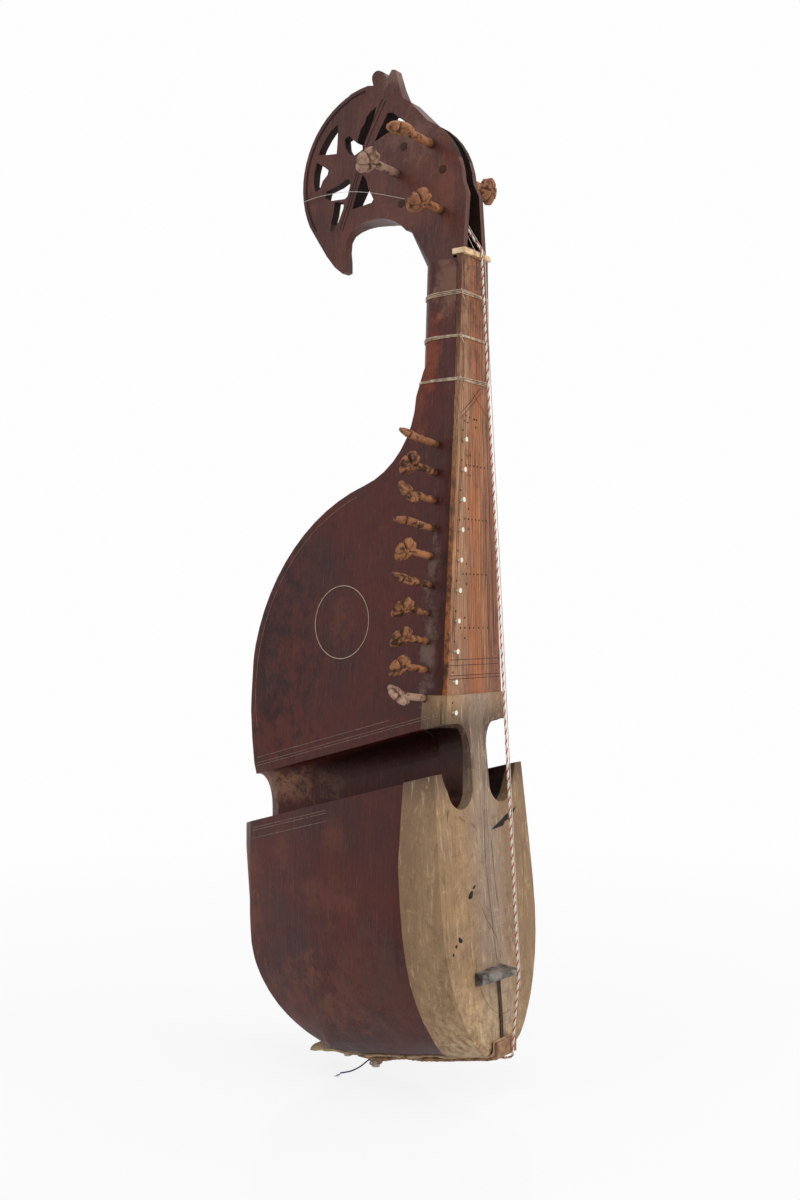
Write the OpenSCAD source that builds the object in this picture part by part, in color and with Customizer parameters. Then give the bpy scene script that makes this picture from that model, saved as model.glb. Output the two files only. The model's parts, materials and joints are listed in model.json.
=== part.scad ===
// Rubab: a deep, short-necked plucked lute with a carved waist, a pierced crescent head,
// six main pegs across the pegbox and ten sympathetic pegs in the near flank.
// Lengths are in millimetres. X runs across the front, Y runs back from the fingerboard's
// face and Z runs up along the strings. Seen from the front, the near flank is at -X.

/* [Neck and fingerboard] */
// Height of the nut above the tail
nut_z = 746; // [740:1:752]
// Half width of the neck at the nut
neck_half_w = 22.5; // [21.5:0.5:24]
// Depth of the neck at the nut, from the fingerboard's face to its round back
neck_depth = 46.5; // [44:0.5:49]
// Half width of the neck where it meets the upper chamber
heel_half_w = 26; // [24.5:0.5:27]
// Depth of the neck where it meets the upper chamber
heel_depth = 50; // [48:0.5:53]
// Height where the neck meets the upper chamber
heel_z = 620; // [614:1:626]
// Thickness of the fingerboard
board_t = 5; // [4:0.5:6]
// Height of the visible end of the fingerboard, where the skin starts
board_end_z = 352; // [345:1:360]
// Distance of each tied fret below the nut
fret_drops = [37, 76, 114];
// Thickness of the gut of a tied fret
fret_t = 1.5; // [1:0.1:2]
// How far the bone nut stands above the fingerboard
nut_rise = 3.5; // [2.5:0.5:4.5]

/* [Upper chamber] */
// Half width of the upper chamber at its lower front edge
chamber_half_w = 51; // [49:0.5:53]
// How much the flank comes in for each millimetre of height
flank_rise = 0.0858; // [0.08:0.001:0.09]
// How much the flank comes in for each millimetre of depth
flank_run = 0.102; // [0.095:0.001:0.106]
// Greatest depth of the upper chamber behind the fingerboard's face
chamber_depth = 245; // [240:1:249]
// Radius of the curve of the chamber's back, seen from the side
back_r = 193; // [188:1:198]
// Height of the deepest point of the chamber's back
back_z = 358; // [350:1:366]
// Radius of the hollow curve from the neck into the chamber's back
throat_r = 80; // [70:1:90]
// Radius of the rounded shoulder beside the fingerboard
shoulder_r = 12; // [10:0.5:13]
// Wall of the hollow upper chamber
chamber_wall = 7; // [6:0.5:9]

/* [Waist] */
// Height of the upper chamber's lower edge at the fingerboard's face
waist_top_z = 328; // [324:1:332]
// Height of the lower bowl's upper edge at the fingerboard's face
waist_low_z = 283; // [278:1:287]
// Slope of the waist, downward towards the back, in degrees
waist_slope = 14.6; // [13:0.2:16]
// Half width of the waist's web at the front
stem_half_w = 13; // [11:0.5:15]
// Half width of the waist's web at its back
web_back_half_w = 26; // [22:1:28]
// Depth of the web's back edge behind the fingerboard's face
web_depth = 222; // [216:1:226]
// Depth of the scoop between the stem and the barb
scoop_depth = 33; // [26:1:36]
// Thickness of the barb that the scoop leaves at the flank
barb_t = 4; // [3:0.5:6]

/* [Lower bowl] */
// Half width of the bowl at the front
bowl_half_w = 75; // [72:0.5:78]
// Half width of the bowl's upper edge at the front
bowl_top_half_w = 69; // [66:0.5:71]
// Half width of the bowl's back
bowl_back_half_w = 38; // [35:0.5:41]
// Depth of the bowl's back behind the fingerboard's face
bowl_depth = 243; // [239:1:247]
// Radius of the bowl's round tail, seen from the side
tail_r = 121; // [117:1:124]
// How far the belly comes forward at the bowl's front bottom edge
belly_forward = 27; // [23:1:30]
// Height of the bowl's front bottom edge
belly_foot_z = 37; // [34:1:39]
// Wall of the hollow bowl
bowl_wall = 8; // [7:0.5:10]

/* [Skin] */
// Thickness of the goat skin
skin_t = 1; // [0.7:0.1:1.3]
// Width of the skin folded back onto the bowl's flank
skin_fold = 42; // [36:1:48]
// Width of the skin folded back onto the upper chamber's flank
skin_fold_top = 24; // [18:1:26]

/* [Head] */
// Radius of the crescent's outer edge
crescent_r = 85; // [83:0.5:86]
// Radius of the crook between crescent and neck
crook_r = 47.5; // [45:0.5:49]
// Half thickness of the pegbox at its top
head_half_t = 12; // [11:0.5:13]
// Half thickness of the crescent at its outer edge
rim_half_t = 5; // [4:0.5:6]
// Thickness of each cheek of the pegbox
cheek_t = 6.5; // [6:0.5:7]
// Depth of the relief inside the crescent's raised rim
relief = 1.5; // [1:0.5:2]

/* [Main pegs] */
// Radius of a main peg's shank in its holes
peg_r = 3.8; // [3.4:0.1:4.2]
// Radius of a main peg's rosette
peg_head_r = 13; // [12:0.5:14]
// Length from the cheek to the middle of a main peg's rosette
peg_reach = 46; // [42:1:52]

/* [Sympathetic pegs] */
// Radius of a sympathetic peg's shank in its hole
small_peg_r = 3.2; // [2.8:0.1:3.5]
// Radius of a sympathetic peg's rosette
small_head_r = 12; // [11:0.1:12.2]
// Length from the flank to the middle of a sympathetic peg's rosette
small_reach = 42; // [36:1:46]
// Height of the uppermost sympathetic peg
small_peg_top_z = 574; // [568:1:578]
// Distance from one sympathetic peg to the next
small_peg_pitch = 25; // [24.8:0.1:25.4]
// Upward tilt of the sympathetic pegs, in degrees
small_peg_tilt = 6.5; // [5:0.5:8]
// Depth of the row of sympathetic pegs behind the fingerboard's face
small_peg_y = 22; // [20:0.5:26]

/* [Bridge and strings] */
// Height of the bridge's middle above the tail
bridge_z = 105; // [98:1:112]
// Height of the bridge under the melody string
bridge_h = 20; // [17:0.5:23]
// Height of the bridge at its low end
bridge_low_h = 8; // [6:0.5:10]
// Width of the bridge
bridge_w = 44; // [40:1:48]
// Radius of the twisted melody string
melody_r = 1.1; // [0.9:0.1:1.3]
// Radius of the thin string
thin_r = 0.4; // [0.3:0.1:0.5]

/* [Tail] */
// Width of the leather tail strap
strap_w = 34; // [28:1:40]
// Thickness of one layer of the tail strap
strap_t = 2.5; // [2:0.1:2.8]
// Depth of the tail button behind the fingerboard's face
button_y = 110; // [104:1:116]
// Radius of the bone tail button
button_r = 4; // [3.5:0.1:4.5]
// Length of the tail button below the strap
button_len = 12; // [9:0.5:14]

/* [Hidden] */
$fn = 48;

// Radial clearance of a peg in its hole
peg_play = 0.05;
// Gap between a tied fret and the neck
fret_play = 0.3;
// Half of the width over which the side outlines are extruded
reach = 110;
// Seam between neck and head
seam_z = nut_z - 6;
// Lowest height of the wood, and of the strap's two layers under it
keel_z = 14;
strap_low_z = keel_z - 2 * strap_t - 0.1;
// Foremost stretch of the wood's underside, as depth and height
keel_line = [[-26, 37.5], [-11, 34], [32, 26], [76, 19], [103.5, keel_z + 0.46]];
// Middle of the arc of the tail, seen from the side
tail_y = bowl_depth - tail_r - 8;
tail_z = keel_z + tail_r;
// Middle of the arc of the chamber's back, seen from the side
back_y = chamber_depth - back_r;
// Forward lean of the belly for each millimetre below the waist's upper edge
lean = belly_forward / (waist_top_z - belly_foot_z);
// Depth of the keel line's start under the front bottom edge
foot_r = 6;
wood_dark = [0.24, 0.10, 0.07];
wood_board = [0.42, 0.20, 0.10];
peg_wood = [0.50, 0.30, 0.16];
bone = [0.90, 0.86, 0.74];

// Points of an arc about c, from angle a0 to angle a1, in n steps
function arc(c, r, a0, a1, n) = [
    for (i = [0:n]) let (a = a0 + (a1 - a0) * i / n) [c[0] + r * cos(a), c[1] + r * sin(a)]
];

// Half width of the upper chamber's flank at depth y and height z
function flank_x(y, z) = chamber_half_w - (z - waist_top_z) * flank_rise - y * flank_run;
// Front of the belly at height z
function belly_y(z) = -max(0, waist_top_z - z) * lean;
// Half width and depth of the neck at height z
function neck_share(z) = (z - heel_z) / (seam_z - heel_z);
function neck_w(z) = heel_half_w + (neck_half_w - heel_half_w) * neck_share(z);
function neck_d(z) = heel_depth + (neck_depth - heel_depth) * neck_share(z);

// Moves a piece from the fingerboard's face to the frame at the tail button
module placed() {
    translate([0, -button_y, button_len / 2 - strap_low_z]) children();
}

// Extrudes a side outline, drawn as depth and height, across the full width
module side_solid(half = reach) {
    rotate([90, 0, 90]) translate([0, 0, -half]) linear_extrude(2 * half) children();
}

// Turns a flat outline drawn as width and height to lie in the waist's slope
module along_slope(z) {
    translate([0, 0, z]) rotate([-waist_slope, 0, 0]) rotate([-90, 0, 0]) mirror([0, 1, 0]) children();
}

// The upper chamber with its planar flanks, before the side outline trims it; e grows it and
// open moves its front forward
module chamber_taper(e, open) {
    hull() for (s = [-1, 1], c = [
        [230, 0, shoulder_r], [230, 245, 3], [520, 0, shoulder_r],
        [520, 245, 3], [705, 0, shoulder_r], [705, 140, 2]
    ]) let (r = max(1, c[2] + e))
        translate([s * (flank_x(c[1], c[0]) + e - r), c[1] == 0 ? r - e - open : c[1] + e - r, c[0]])
            cylinder(h = 0.5, r = r, $fn = 32);
}

// Height on a waist edge that meets the fingerboard's face at z, at depth y
function slope_z(z, y) = z - y * tan(waist_slope);

// Side outline of the upper chamber; e grows its back, front is its front face, and it ends
// above the waist edge that starts at low
module chamber_outline(e, front, low) {
    throat_y = heel_depth - 1 + throat_r;
    rise = sqrt(pow(back_r + throat_r, 2) - pow(throat_y - back_y, 2));
    meet = atan2(rise, throat_y - back_y);
    corner = chamber_depth - 15 + e;
    polygon(concat(
        [[front, slope_z(low, front)], [corner, slope_z(low, corner)]],
        [[chamber_depth - 11 + e, 278], [chamber_depth - 6 + e, 302], [chamber_depth - 2 + e, 330]],
        arc([back_y, back_z], back_r + e, 0, meet, 14),
        arc([throat_y, back_z + rise], throat_r - e, meet + 180, 180, 8),
        [[heel_depth - 8 + e, heel_z + 22], [24, heel_z + 58], [front, heel_z + 75]]
    ));
}

// The solid upper chamber above the waist's sloping ceiling
module chamber_solid(e, front, low, open = 0) {
    intersection() {
        chamber_taper(e, open);
        side_solid() chamber_outline(e, front, low);
    }
}

// Round-backed neck section from depth front; its back is a half circle
module neck_section(z, e, front) {
    w = neck_w(z) + e;
    polygon(concat([[-w, front]], arc([0, neck_d(z) - neck_w(z)], w, 180, 0, 20), [[w, front]]));
}

module neck_solid() {
    hull() for (z = [570, seam_z - 0.5]) translate([0, 0, z]) linear_extrude(0.5) neck_section(z, 0, board_t);
}

// Front profile of the bowl as half width and height above its lowest point, for a bowl
// that is 77 wide to each side
bowl_curve = [
    [0, 0], [15, 3], [31, 11], [45, 24], [56, 40], [64, 57], [70.5, 76], [74.5, 95],
    [77, 118], [77, 145], [75.5, 175], [72, 225], [69, 265]
];
module bowl_profile(half_w, top_w, low, e) {
    k = half_w / 77;
    side = [for (p = bowl_curve) [
        p[0] * k + (top_w / k - 69) * k * pow(p[1] / 265, 2) + e * min(1, p[0] * k / 20),
        low + p[1] * (p[1] < 118 ? sqrt(k) : 1) - e * max(0, 1 - p[1] / 60)
    ]];
    polygon(concat(side, [for (i = [len(side) - 1:-1:0]) [-side[i][0], side[i][1]]]));
}

// The lower bowl before its side outline trims it; e grows it
module bowl_taper(e) {
    hull() for (c = [
        [-45, bowl_half_w + 0.5, bowl_top_half_w + 1, belly_foot_z + 2],
        [35, bowl_half_w + 2.5, bowl_top_half_w + 4, 25],
        [140, 61, 60, keel_z - 12],
        [bowl_depth - 12, bowl_back_half_w + 1, bowl_back_half_w + 1, keel_z + 6],
        [bowl_depth + 5, bowl_back_half_w - 11, bowl_back_half_w - 11, keel_z + 40]
    ])
        translate([0, c[0] + (c[0] < 0 ? -40 : e), 0]) rotate([90, 0, 0]) linear_extrude(0.2)
            bowl_profile(c[1], c[2], c[3], e);
}

// Side outline of the bowl; e grows it, open moves its front forward and low is its upper edge
module bowl_outline(e, low, open = 0) {
    f = -e - open;
    front_z = slope_z(low, belly_y(low));
    foot_z = belly_foot_z + (open > 0 ? bowl_wall + 2 : 6);
    polygon(concat(
        [[f + belly_y(front_z), slope_z(low, f + belly_y(front_z))]],
        [[f + belly_y(foot_z), foot_z]],
        [for (p = keel_line) if (p[0] < 80) [p[0], p[1] - e]],
        arc([tail_y, tail_z], tail_r + e, -95, 5, 16),
        [[bowl_depth + 3 + e, min(196, slope_z(low, 255))], [bowl_depth + 3 + e, slope_z(low, bowl_depth + 3 + e)]]
    ));
}

module bowl_solid(e, low, open = 0) {
    intersection() {
        bowl_taper(e);
        side_solid() bowl_outline(e, low, open);
    }
}

// Front outline of one scoop on side s: flat stem side, round bottom, thin barb outside;
// e narrows it and k shrinks its width
module scoop_outline(e, s, k) {
    in_x = stem_half_w + e;
    out_x = bowl_top_half_w + 2 - barb_t - e;
    r = (out_x - in_x) * 0.42;
    low = -scoop_depth + e;
    polygon([
        for (p = concat(
            [[in_x, 12]],
            arc([in_x + r, low + r], r, 180, 270, 6),
            arc([out_x - r * 1.3, low + r], r, -90, -20, 5),
            [[out_x, -1], [out_x + 0.5, 12]]
        )) [s * k * p[0], p[1]]
    ]);
}

// The two scoops, narrowing towards the back with the flanks
module scoops(e) {
    along_slope(waist_low_z) for (s = [-1, 1]) hull() {
        translate([0, 0, -40]) linear_extrude(0.2) scoop_outline(e, s, 1);
        translate([0, 0, 195]) linear_extrude(0.2) scoop_outline(e, s, 0.56);
    }
}

// The waist's web: its plan widens to the back, and its stem spreads at the top
module web(e) {
    w = stem_half_w + e;
    b = web_back_half_w + e;
    intersection() {
        translate([0, 0, 140]) linear_extrude(260) polygon([
            [-w, -60], [w, -60], [w, 45], [w + 5, 130], [b, web_depth - 14], [b - 8, web_depth + e],
            [8 - b, web_depth + e], [-b, web_depth - 14], [-w - 5, 130], [-w, 45]
        ]);
        side_solid() web_outline(e, web_depth + 8);
    }
    intersection() {
        along_slope(waist_top_z + 5) translate([0, 0, -60]) linear_extrude(142) polygon(concat(
            arc([w + flare_r + 0.5, -flare_r - 5], flare_r, 178, 100, 6),
            arc([-w - flare_r - 0.5, -flare_r - 5], flare_r, 80, 2, 6)
        ));
        side_solid() web_outline(e, 75);
    }
}

// Radius of the rounded corners where the stem spreads into the upper chamber
flare_r = 22;
// Side outline of the web between the two waist edges, with its front on the belly
module web_outline(e, back) {
    z1 = waist_top_z + 4;
    z0 = waist_low_z - scoop_depth - 4;
    f0 = belly_y(z0) - e;
    polygon([
        [board_t, z1], [board_t, waist_top_z], [-e, waist_top_z], [f0, slope_z(z0, f0)],
        [back, slope_z(z0, back)], [back, slope_z(z1, back)]
    ]);
}

// The outside of the whole wooden body below the neck, without its hollows
module body_outside(e) {
    chamber_solid(e, board_t, waist_top_z - e);
    difference() {
        bowl_solid(e, waist_low_z + e);
        scoops(e);
    }
    web(e);
}

module body() {
    color(wood_dark) placed() difference() {
        union() {
            body_outside(0);
            neck_solid();
        }
        // Hollow bowl, open under the skin
        bowl_solid(-bowl_wall, waist_low_z - scoop_depth - bowl_wall, 30);
        // Hollow upper chamber, closed by the fingerboard
        intersection() {
            chamber_taper(-chamber_wall, 40);
            side_solid() intersection() {
                chamber_outline(-chamber_wall, -20, waist_top_z + chamber_wall);
                translate([-30, 0]) square([400, small_peg_top_z + 16]);
            }
        }
        for (i = [0:9]) small_peg_place(i) translate([0, 0, -30]) cylinder(h = 60, r = small_peg_r + peg_play);
        translate([0, button_y, 0]) cylinder(h = 60, r = button_shank_r + peg_play, center = true);
        translate([0, strap_button_y, 0]) cylinder(h = 60, r = button_shank_r + peg_play, center = true);
    }
}

// Thin plate over neck and upper chamber
function board_w(z) = z > heel_z ? neck_w(z) - 0.4 : neck_w(heel_z) - 0.4
    + (heel_z - z) * (flank_x(0, waist_top_z) - 3 - neck_w(heel_z) + 0.4) / (heel_z - waist_top_z);

module board_outline() {
    z0 = waist_top_z;
    polygon([
        [-board_w(z0), z0], [board_w(z0), z0], [board_w(heel_z), heel_z], [board_w(seam_z), nut_z - nut_t / 2],
        [-board_w(seam_z), nut_z - nut_t / 2], [-board_w(heel_z), heel_z]
    ]);
}

// Height and side offset of each guide pin
pin_top_z = 578;
pin_pitch = 26.8;
pin_r = 1;
hole_r = 1.1;
hole_rise = 8.5;
function pin_z(i) = pin_top_z - pin_pitch * i;
function pin_x(i) = -(board_w(pin_z(i)) - 9);
// Depth of the nut's bone strip along the strings
nut_t = 5;

module fingerboard() {
    color(wood_board) placed() difference() {
        translate([0, board_t, 0]) rotate([90, 0, 0]) linear_extrude(board_t) board_outline();
        for (i = [0:9]) {
            translate([pin_x(i), 0, pin_z(i)]) rotate([90, 0, 0]) cylinder(h = 7, r = pin_r + peg_play, center = true);
            translate([pin_x(i), 0, pin_z(i) + hole_rise]) rotate([90, 0, 0]) cylinder(h = 30, r = hole_r, center = true);
        }
    }
}

module guide_pins() {
    color(bone) placed() for (i = [0:9]) {
        front = i == 9 ? skin_t : 0;
        translate([pin_x(i), 0, pin_z(i)]) rotate([90, 0, 0]) {
            translate([0, 0, -3.4]) cylinder(h = 3.4 + front + 3, r = pin_r);
            translate([0, 0, front + 2]) cylinder(h = 2, r1 = pin_r, r2 = 2.2);
        }
    }
}

// Body and lower end of the fingerboard together, grown by e, as the form of the skin
module skin_form(e) {
    body_outside(e);
    translate([0, board_t + 1, 0]) rotate([90, 0, 0]) linear_extrude(board_t + 1 + e) polygon([
        [-board_w(waist_top_z) - e, waist_top_z - e], [board_w(waist_top_z) + e, waist_top_z - e],
        [board_w(heel_z) + e, heel_z], [-board_w(heel_z) - e, heel_z]
    ]);
}

// Goat skin, folded back onto the flanks
module skin() {
    color([0.55, 0.50, 0.40]) placed() difference() {
        intersection() {
            difference() {
                skin_form(skin_t);
                skin_form(0);
            }
            side_solid() polygon([
                [-80, 0], [-80, board_end_z], [skin_fold_top, board_end_z], [skin_fold_top, waist_top_z - 20],
                [skin_fold - 16, 291], [skin_fold - 14, 248], [skin_fold - 12.5, 205], [skin_fold - 17, 150],
                [skin_fold - 21, 100], [skin_fold - 26, 54], [skin_fold - 28, 0]
            ]);
        }
        // Cut round the lowest sympathetic peg, and left out inside the waist
        small_peg_place(9) cylinder(h = 20, r = small_peg_r + 0.6, center = true);
        translate([-strap_w / 2 - 0.3, -40, -20]) cube([strap_w + 0.6, 60, 20 + belly_foot_z - 0.1]);
        translate([-62, 4, waist_low_z - scoop_depth - 26]) cube([124, 80, scoop_depth + 65]);
        translate([pin_x(9), 0, pin_z(9)]) rotate([90, 0, 0]) cylinder(h = 9, r = pin_r + peg_play, center = true);
        translate([pin_x(9), 0, pin_z(9) + hole_rise]) rotate([90, 0, 0]) cylinder(h = 9, r = hole_r, center = true);
    }
}

module nut() {
    color(bone) placed() translate([-neck_half_w, -nut_rise, nut_z - nut_t / 2])
        cube([2 * neck_half_w, nut_rise + 10, nut_t]);
}

// Section that a fret goes round at height z: the neck's, and low down the chamber's corners too
module tied_section(z, e) {
    low = z - 4;
    d = min(heel_depth - 1, heel_depth - 1 - (low - heel_z) * 7 / 22);
    neck_section(z, e, -e);
    if (low < heel_z + 22) polygon([
        [-flank_x(0, low) - e, 0], [-flank_x(0, low) - e, shoulder_r], [-flank_x(d - shoulder_r, low) - e, d + e],
        [flank_x(d - shoulder_r, low) + e, d + e], [flank_x(0, low) + e, shoulder_r], [flank_x(0, low) + e, 0]
    ]);
}

// Two strands of gut tied round the neck
module fret(i) {
    z = nut_z - fret_drops[i];
    color([0.72, 0.60, 0.38]) placed() difference() {
        for (k = [-0.5, 0.5]) translate([0, 0, z + k * fret_t - fret_t / 2])
            linear_extrude(fret_t) tied_section(z, fret_play + fret_t);
        translate([0, 0, z - 5]) linear_extrude(10) tied_section(z, fret_play);
    }
}

// Wedge-shaped bridge, thick at its foot and low at the near end
bridge_x0 = -34.5;
bridge_foot_t = 12;
bridge_top_t = 4;
module bridge_seat() {
    translate([0, belly_y(bridge_z) - skin_t - 0.05, bridge_z]) rotate([-atan(lean), 0, 0]) children();
}

module bridge() {
    color([0.10, 0.08, 0.07]) placed() bridge_seat() intersection() {
        translate([bridge_x0, 0, 0]) rotate([90, 0, 90]) linear_extrude(bridge_w) polygon([
            [0, -bridge_foot_t / 2], [0, bridge_foot_t / 2], [-bridge_h, bridge_top_t / 2], [-bridge_h, -bridge_top_t / 2]
        ]);
        translate([0, 0, -20]) linear_extrude(40) polygon([
            [bridge_x0, 0], [bridge_x0 + bridge_w, 0], [bridge_x0 + bridge_w - 1, -bridge_h],
            [bridge_x0 + bridge_w - 6, -bridge_h], [bridge_x0, -bridge_low_h]
        ]);
    }
}

// Head: side outline with crescent, crook and two-lobed finial
crescent_mid = [109.5, 837];
crook_mid = [101, 744];
brow_mid = [79, 808];
brow_r = 74;
module head_outline() {
    polygon(concat(
        [[0, seam_z], [0, 800]],
        arc(brow_mid, brow_r, 177, 118, 7),
        [[65, 895], [74, 901], [79, 913], [84, 930], [88, 931], [93, 924], [98, 931]],
        arc([105, 928], 6, 120, -20, 5),
        [[109, 920.5]],
        arc(crescent_mid, crescent_r, 86, -26, 18),
        [[165, 768], [155, 756], [146, 749], [141, 750], [141, 760], [142, 770], [141, 779], [137, 785]],
        [[131, 788.5], [123, 791], [115, 792], [104, 791.8]],
        arc(crook_mid, crook_r, 97, 168, 9),
        [[49, 749], [neck_d(seam_z), seam_z]]
    ));
}

// Pierced ornament, as depth and height on the head's near face
module piercings() {
    polygon([[90, 890], [84, 889], [77, 883], [69, 877], [72, 872], [89, 870], [103, 865]]);
    polygon([[118, 837], [113, 831], [109, 820], [104, 811], [106, 808], [133, 808], [130, 815], [122, 831]]);
    polygon([[151, 893], [159, 889], [166, 882], [172, 874], [175, 868], [163, 866], [153, 865], [152, 875]]);
    polygon([
        [177, 861], [180, 852], [181, 841], [179, 833], [174, 834], [170, 842], [164, 847], [163, 851], [168, 855]
    ]);
    polygon([[143, 877], [137, 879], [131, 873], [126, 869], [119, 869], [118, 861], [131, 858], [138, 862], [142, 868]]);
    polygon([
        [104, 899], [110, 896], [115, 891], [116, 885], [121, 880], [126, 870], [123, 866], [117, 864], [111, 873],
        [107, 884]
    ]);
    polygon([[137, 838], [142, 838], [151, 834], [165, 831], [167, 825], [160, 821], [143, 820], [140, 822], [136, 832]]);
    polygon([[155, 819], [144, 817], [145, 811], [151, 799], [157, 791], [161, 792], [160, 799], [157, 808]]);
}

// Pegbox slot, as depth and height
module slot_outline() {
    difference() {
        polygon([
            [-20, nut_z + 5], [30, nut_z + 5], [66, 790], [88, 800], [88, 846], [70, 866], [44, 872], [26, 880], [-20, 880]
        ]);
        translate(crook_mid) circle(r = crook_r + 9);
    }
}

// Half width of the pegbox at height z, as the front view shows it
function head_w(z) = z > 815 ? head_half_t : neck_half_w - 2 + (head_half_t - neck_half_w + 2) * (z - seam_z) / (815 - seam_z);

// Height up to which the head's back corners fade into the round neck
neck_blend_z = 775;
module head_plan(back = 200) {
    intersection() {
        polygon([
            [-30, -20], [30, -20], [30, 14], [22, 26], [17.5, 38], [head_half_t + 3, 54], [head_half_t + 3, 98],
            [rim_half_t, 139], [rim_half_t - 0.3, 200], [0.3 - rim_half_t, 200], [-rim_half_t, 139],
            [-head_half_t - 3, 98], [-head_half_t - 3, 54], [-17.5, 38], [-22, 26], [-30, 14]
        ]);
        translate([-50, -50]) square([100, 50 + back]);
    }
}

module head() {
    color(wood_dark) placed() difference() {
        intersection() {
            side_solid(30) head_outline();
            // Front view: wide at the nut, narrow at the top
            translate([0, 220, 0]) rotate([90, 0, 0]) linear_extrude(260) polygon([
                [-head_w(seam_z), seam_z - 1], [head_w(seam_z), seam_z - 1], [head_w(765), 765], [head_half_t, 815],
                [head_half_t - 0.5, 872], [6.5, 905], [4.5, 940], [-4.5, 940], [-6.5, 905],
                [0.5 - head_half_t, 872], [-head_half_t, 815], [-head_w(765), 765]
            ]);
            // Plan: thin at the crescent's outer edge, and round-backed where it grows out of the neck
            union() {
                translate([0, 0, neck_blend_z]) linear_extrude(200) head_plan();
                hull() {
                    translate([0, 0, seam_z - 1]) linear_extrude(1) neck_section(seam_z, 0, -20);
                    translate([0, 0, neck_blend_z]) linear_extrude(1) head_plan(60);
                }
                translate([0, 0, seam_z - 60]) linear_extrude(neck_blend_z - seam_z + 61) difference() {
                    head_plan();
                    translate([-50, -50]) square([100, 50 + crook_mid[0]]);
                }
            }
        }
        side_solid(30) piercings();
        // Slot between the cheeks
        intersection() {
            side_solid(30) slot_outline();
            translate([0, 220, 0]) rotate([90, 0, 0]) linear_extrude(260) polygon([
                [cheek_t - head_w(seam_z), seam_z], [head_w(seam_z) - cheek_t, seam_z], [head_half_t - cheek_t, 815],
                [head_half_t - cheek_t - 1, 945], [cheek_t + 1 - head_half_t, 945], [cheek_t - head_half_t, 815]
            ]);
        }
        // Seat of the nut
        translate([-40, -20, 0]) cube([80, 20 + 10, nut_z + nut_t / 2]);
        for (p = main_pegs) translate([0, p[0], p[1]]) rotate([0, 90, 0])
            cylinder(h = 80, r = peg_r + peg_play, center = true);
    }
}

// Main pegs: depth, height, side of the rosette, its turn and how far it stands out
main_pegs = [
    [39, 850, -1, 78, 3], [77, 830, -1, 8, 0], [26, 787, -1, 14, -10],
    [70, 854, 1, 60, -1], [27, 825, 1, 10, 9], [71, 801, 1, 70, 0]
];

// A carved peg along +Z: shank from -tail to the rosette, whose middle is at out
module peg(shank_r, tail, out, rosette_r, thick, turn) {
    petals = 5;
    rim_t = thick * 0.45;
    dome_r = (pow(rosette_r, 2) + pow((thick - rim_t) / 2, 2)) / (thick - rim_t);
    rotate([0, 0, turn]) {
        translate([0, 0, -tail]) cylinder(h = tail + 2, r = shank_r);
        translate([0, 0, 1]) cylinder(h = out - rosette_r * 0.6 - 1, r = shank_r);
        intersection() {
            translate([0, 0, out]) rotate([90, 0, 0]) translate([0, 0, -thick / 2]) linear_extrude(thick) {
                for (i = [0:petals - 1]) rotate(360 / petals * i + 90)
                    translate([rosette_r * 0.56, 0]) circle(r = rosette_r * 0.44, $fn = 64);
                circle(r = rosette_r * 0.5);
            }
            translate([0, dome_r - thick / 2, out]) sphere(r = dome_r, $fn = 180);
            translate([0, thick / 2 - dome_r, out]) sphere(r = dome_r, $fn = 180);
        }
    }
}

module main_peg(i) {
    p = main_pegs[i];
    w = head_w(p[1]);
    color(peg_wood) placed() translate([p[2] * w, p[0], p[1]]) rotate([0, p[2] * 90, 0])
        peg(peg_r, 2 * w + 0.5, peg_reach + p[4], peg_head_r, 12, p[3]);
}

// Turn of each sympathetic peg's rosette
small_turns = [80, 30, 25, 86, 20, 60, 40, 25, 35, 15];
module small_peg_place(i) {
    z = small_peg_top_z - small_peg_pitch * i;
    translate([-flank_x(small_peg_y, z), small_peg_y, z]) rotate([0, -90 + small_peg_tilt, 0]) children();
}

module sympathetic_peg(i) {
    color(peg_wood) placed() small_peg_place(i) peg(small_peg_r, 16, small_reach, small_head_r, 7.5, small_turns[i]);
}

// Tube swept along points, with rings square to the path
function unit(v) = v / norm(v);
function heading(p, i) = unit(p[min(i + 1, len(p) - 1)] - p[max(i - 1, 0)]);
function ring(c, d, r, n) =
    let (u = unit(cross(d, abs(d[0]) > 0.9 ? [0, 1, 0] : [1, 0, 0])), v = cross(d, u))
    [for (k = [0:n - 1]) c + r * (cos(360 * k / n) * u + sin(360 * k / n) * v)];
module tube(p, r, n = 8) {
    m = len(p);
    polyhedron(
        points = [for (i = [0:m - 1]) each ring(p[i], heading(p, i), r, n)],
        faces = concat(
            [[for (k = [0:n - 1]) k]],
            [for (i = [0:m - 2], k = [0:n - 1]) [i * n + k, (i + 1) * n + k, (i + 1) * n + (k + 1) % n]],
            [for (i = [0:m - 2], k = [0:n - 1]) [i * n + k, (i + 1) * n + (k + 1) % n, i * n + (k + 1) % n]],
            [[for (k = [n - 1:-1:0]) (m - 1) * n + k]]
        )
    );
}

// Middle height of the melody string under the strap at depth y
function under(y) = lookup(y, keel_line) - 2 * strap_t - melody_r - 0.4;
strap_face_y = belly_y(belly_foot_z) - 2 - skin_t - 2 * strap_t;
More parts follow.
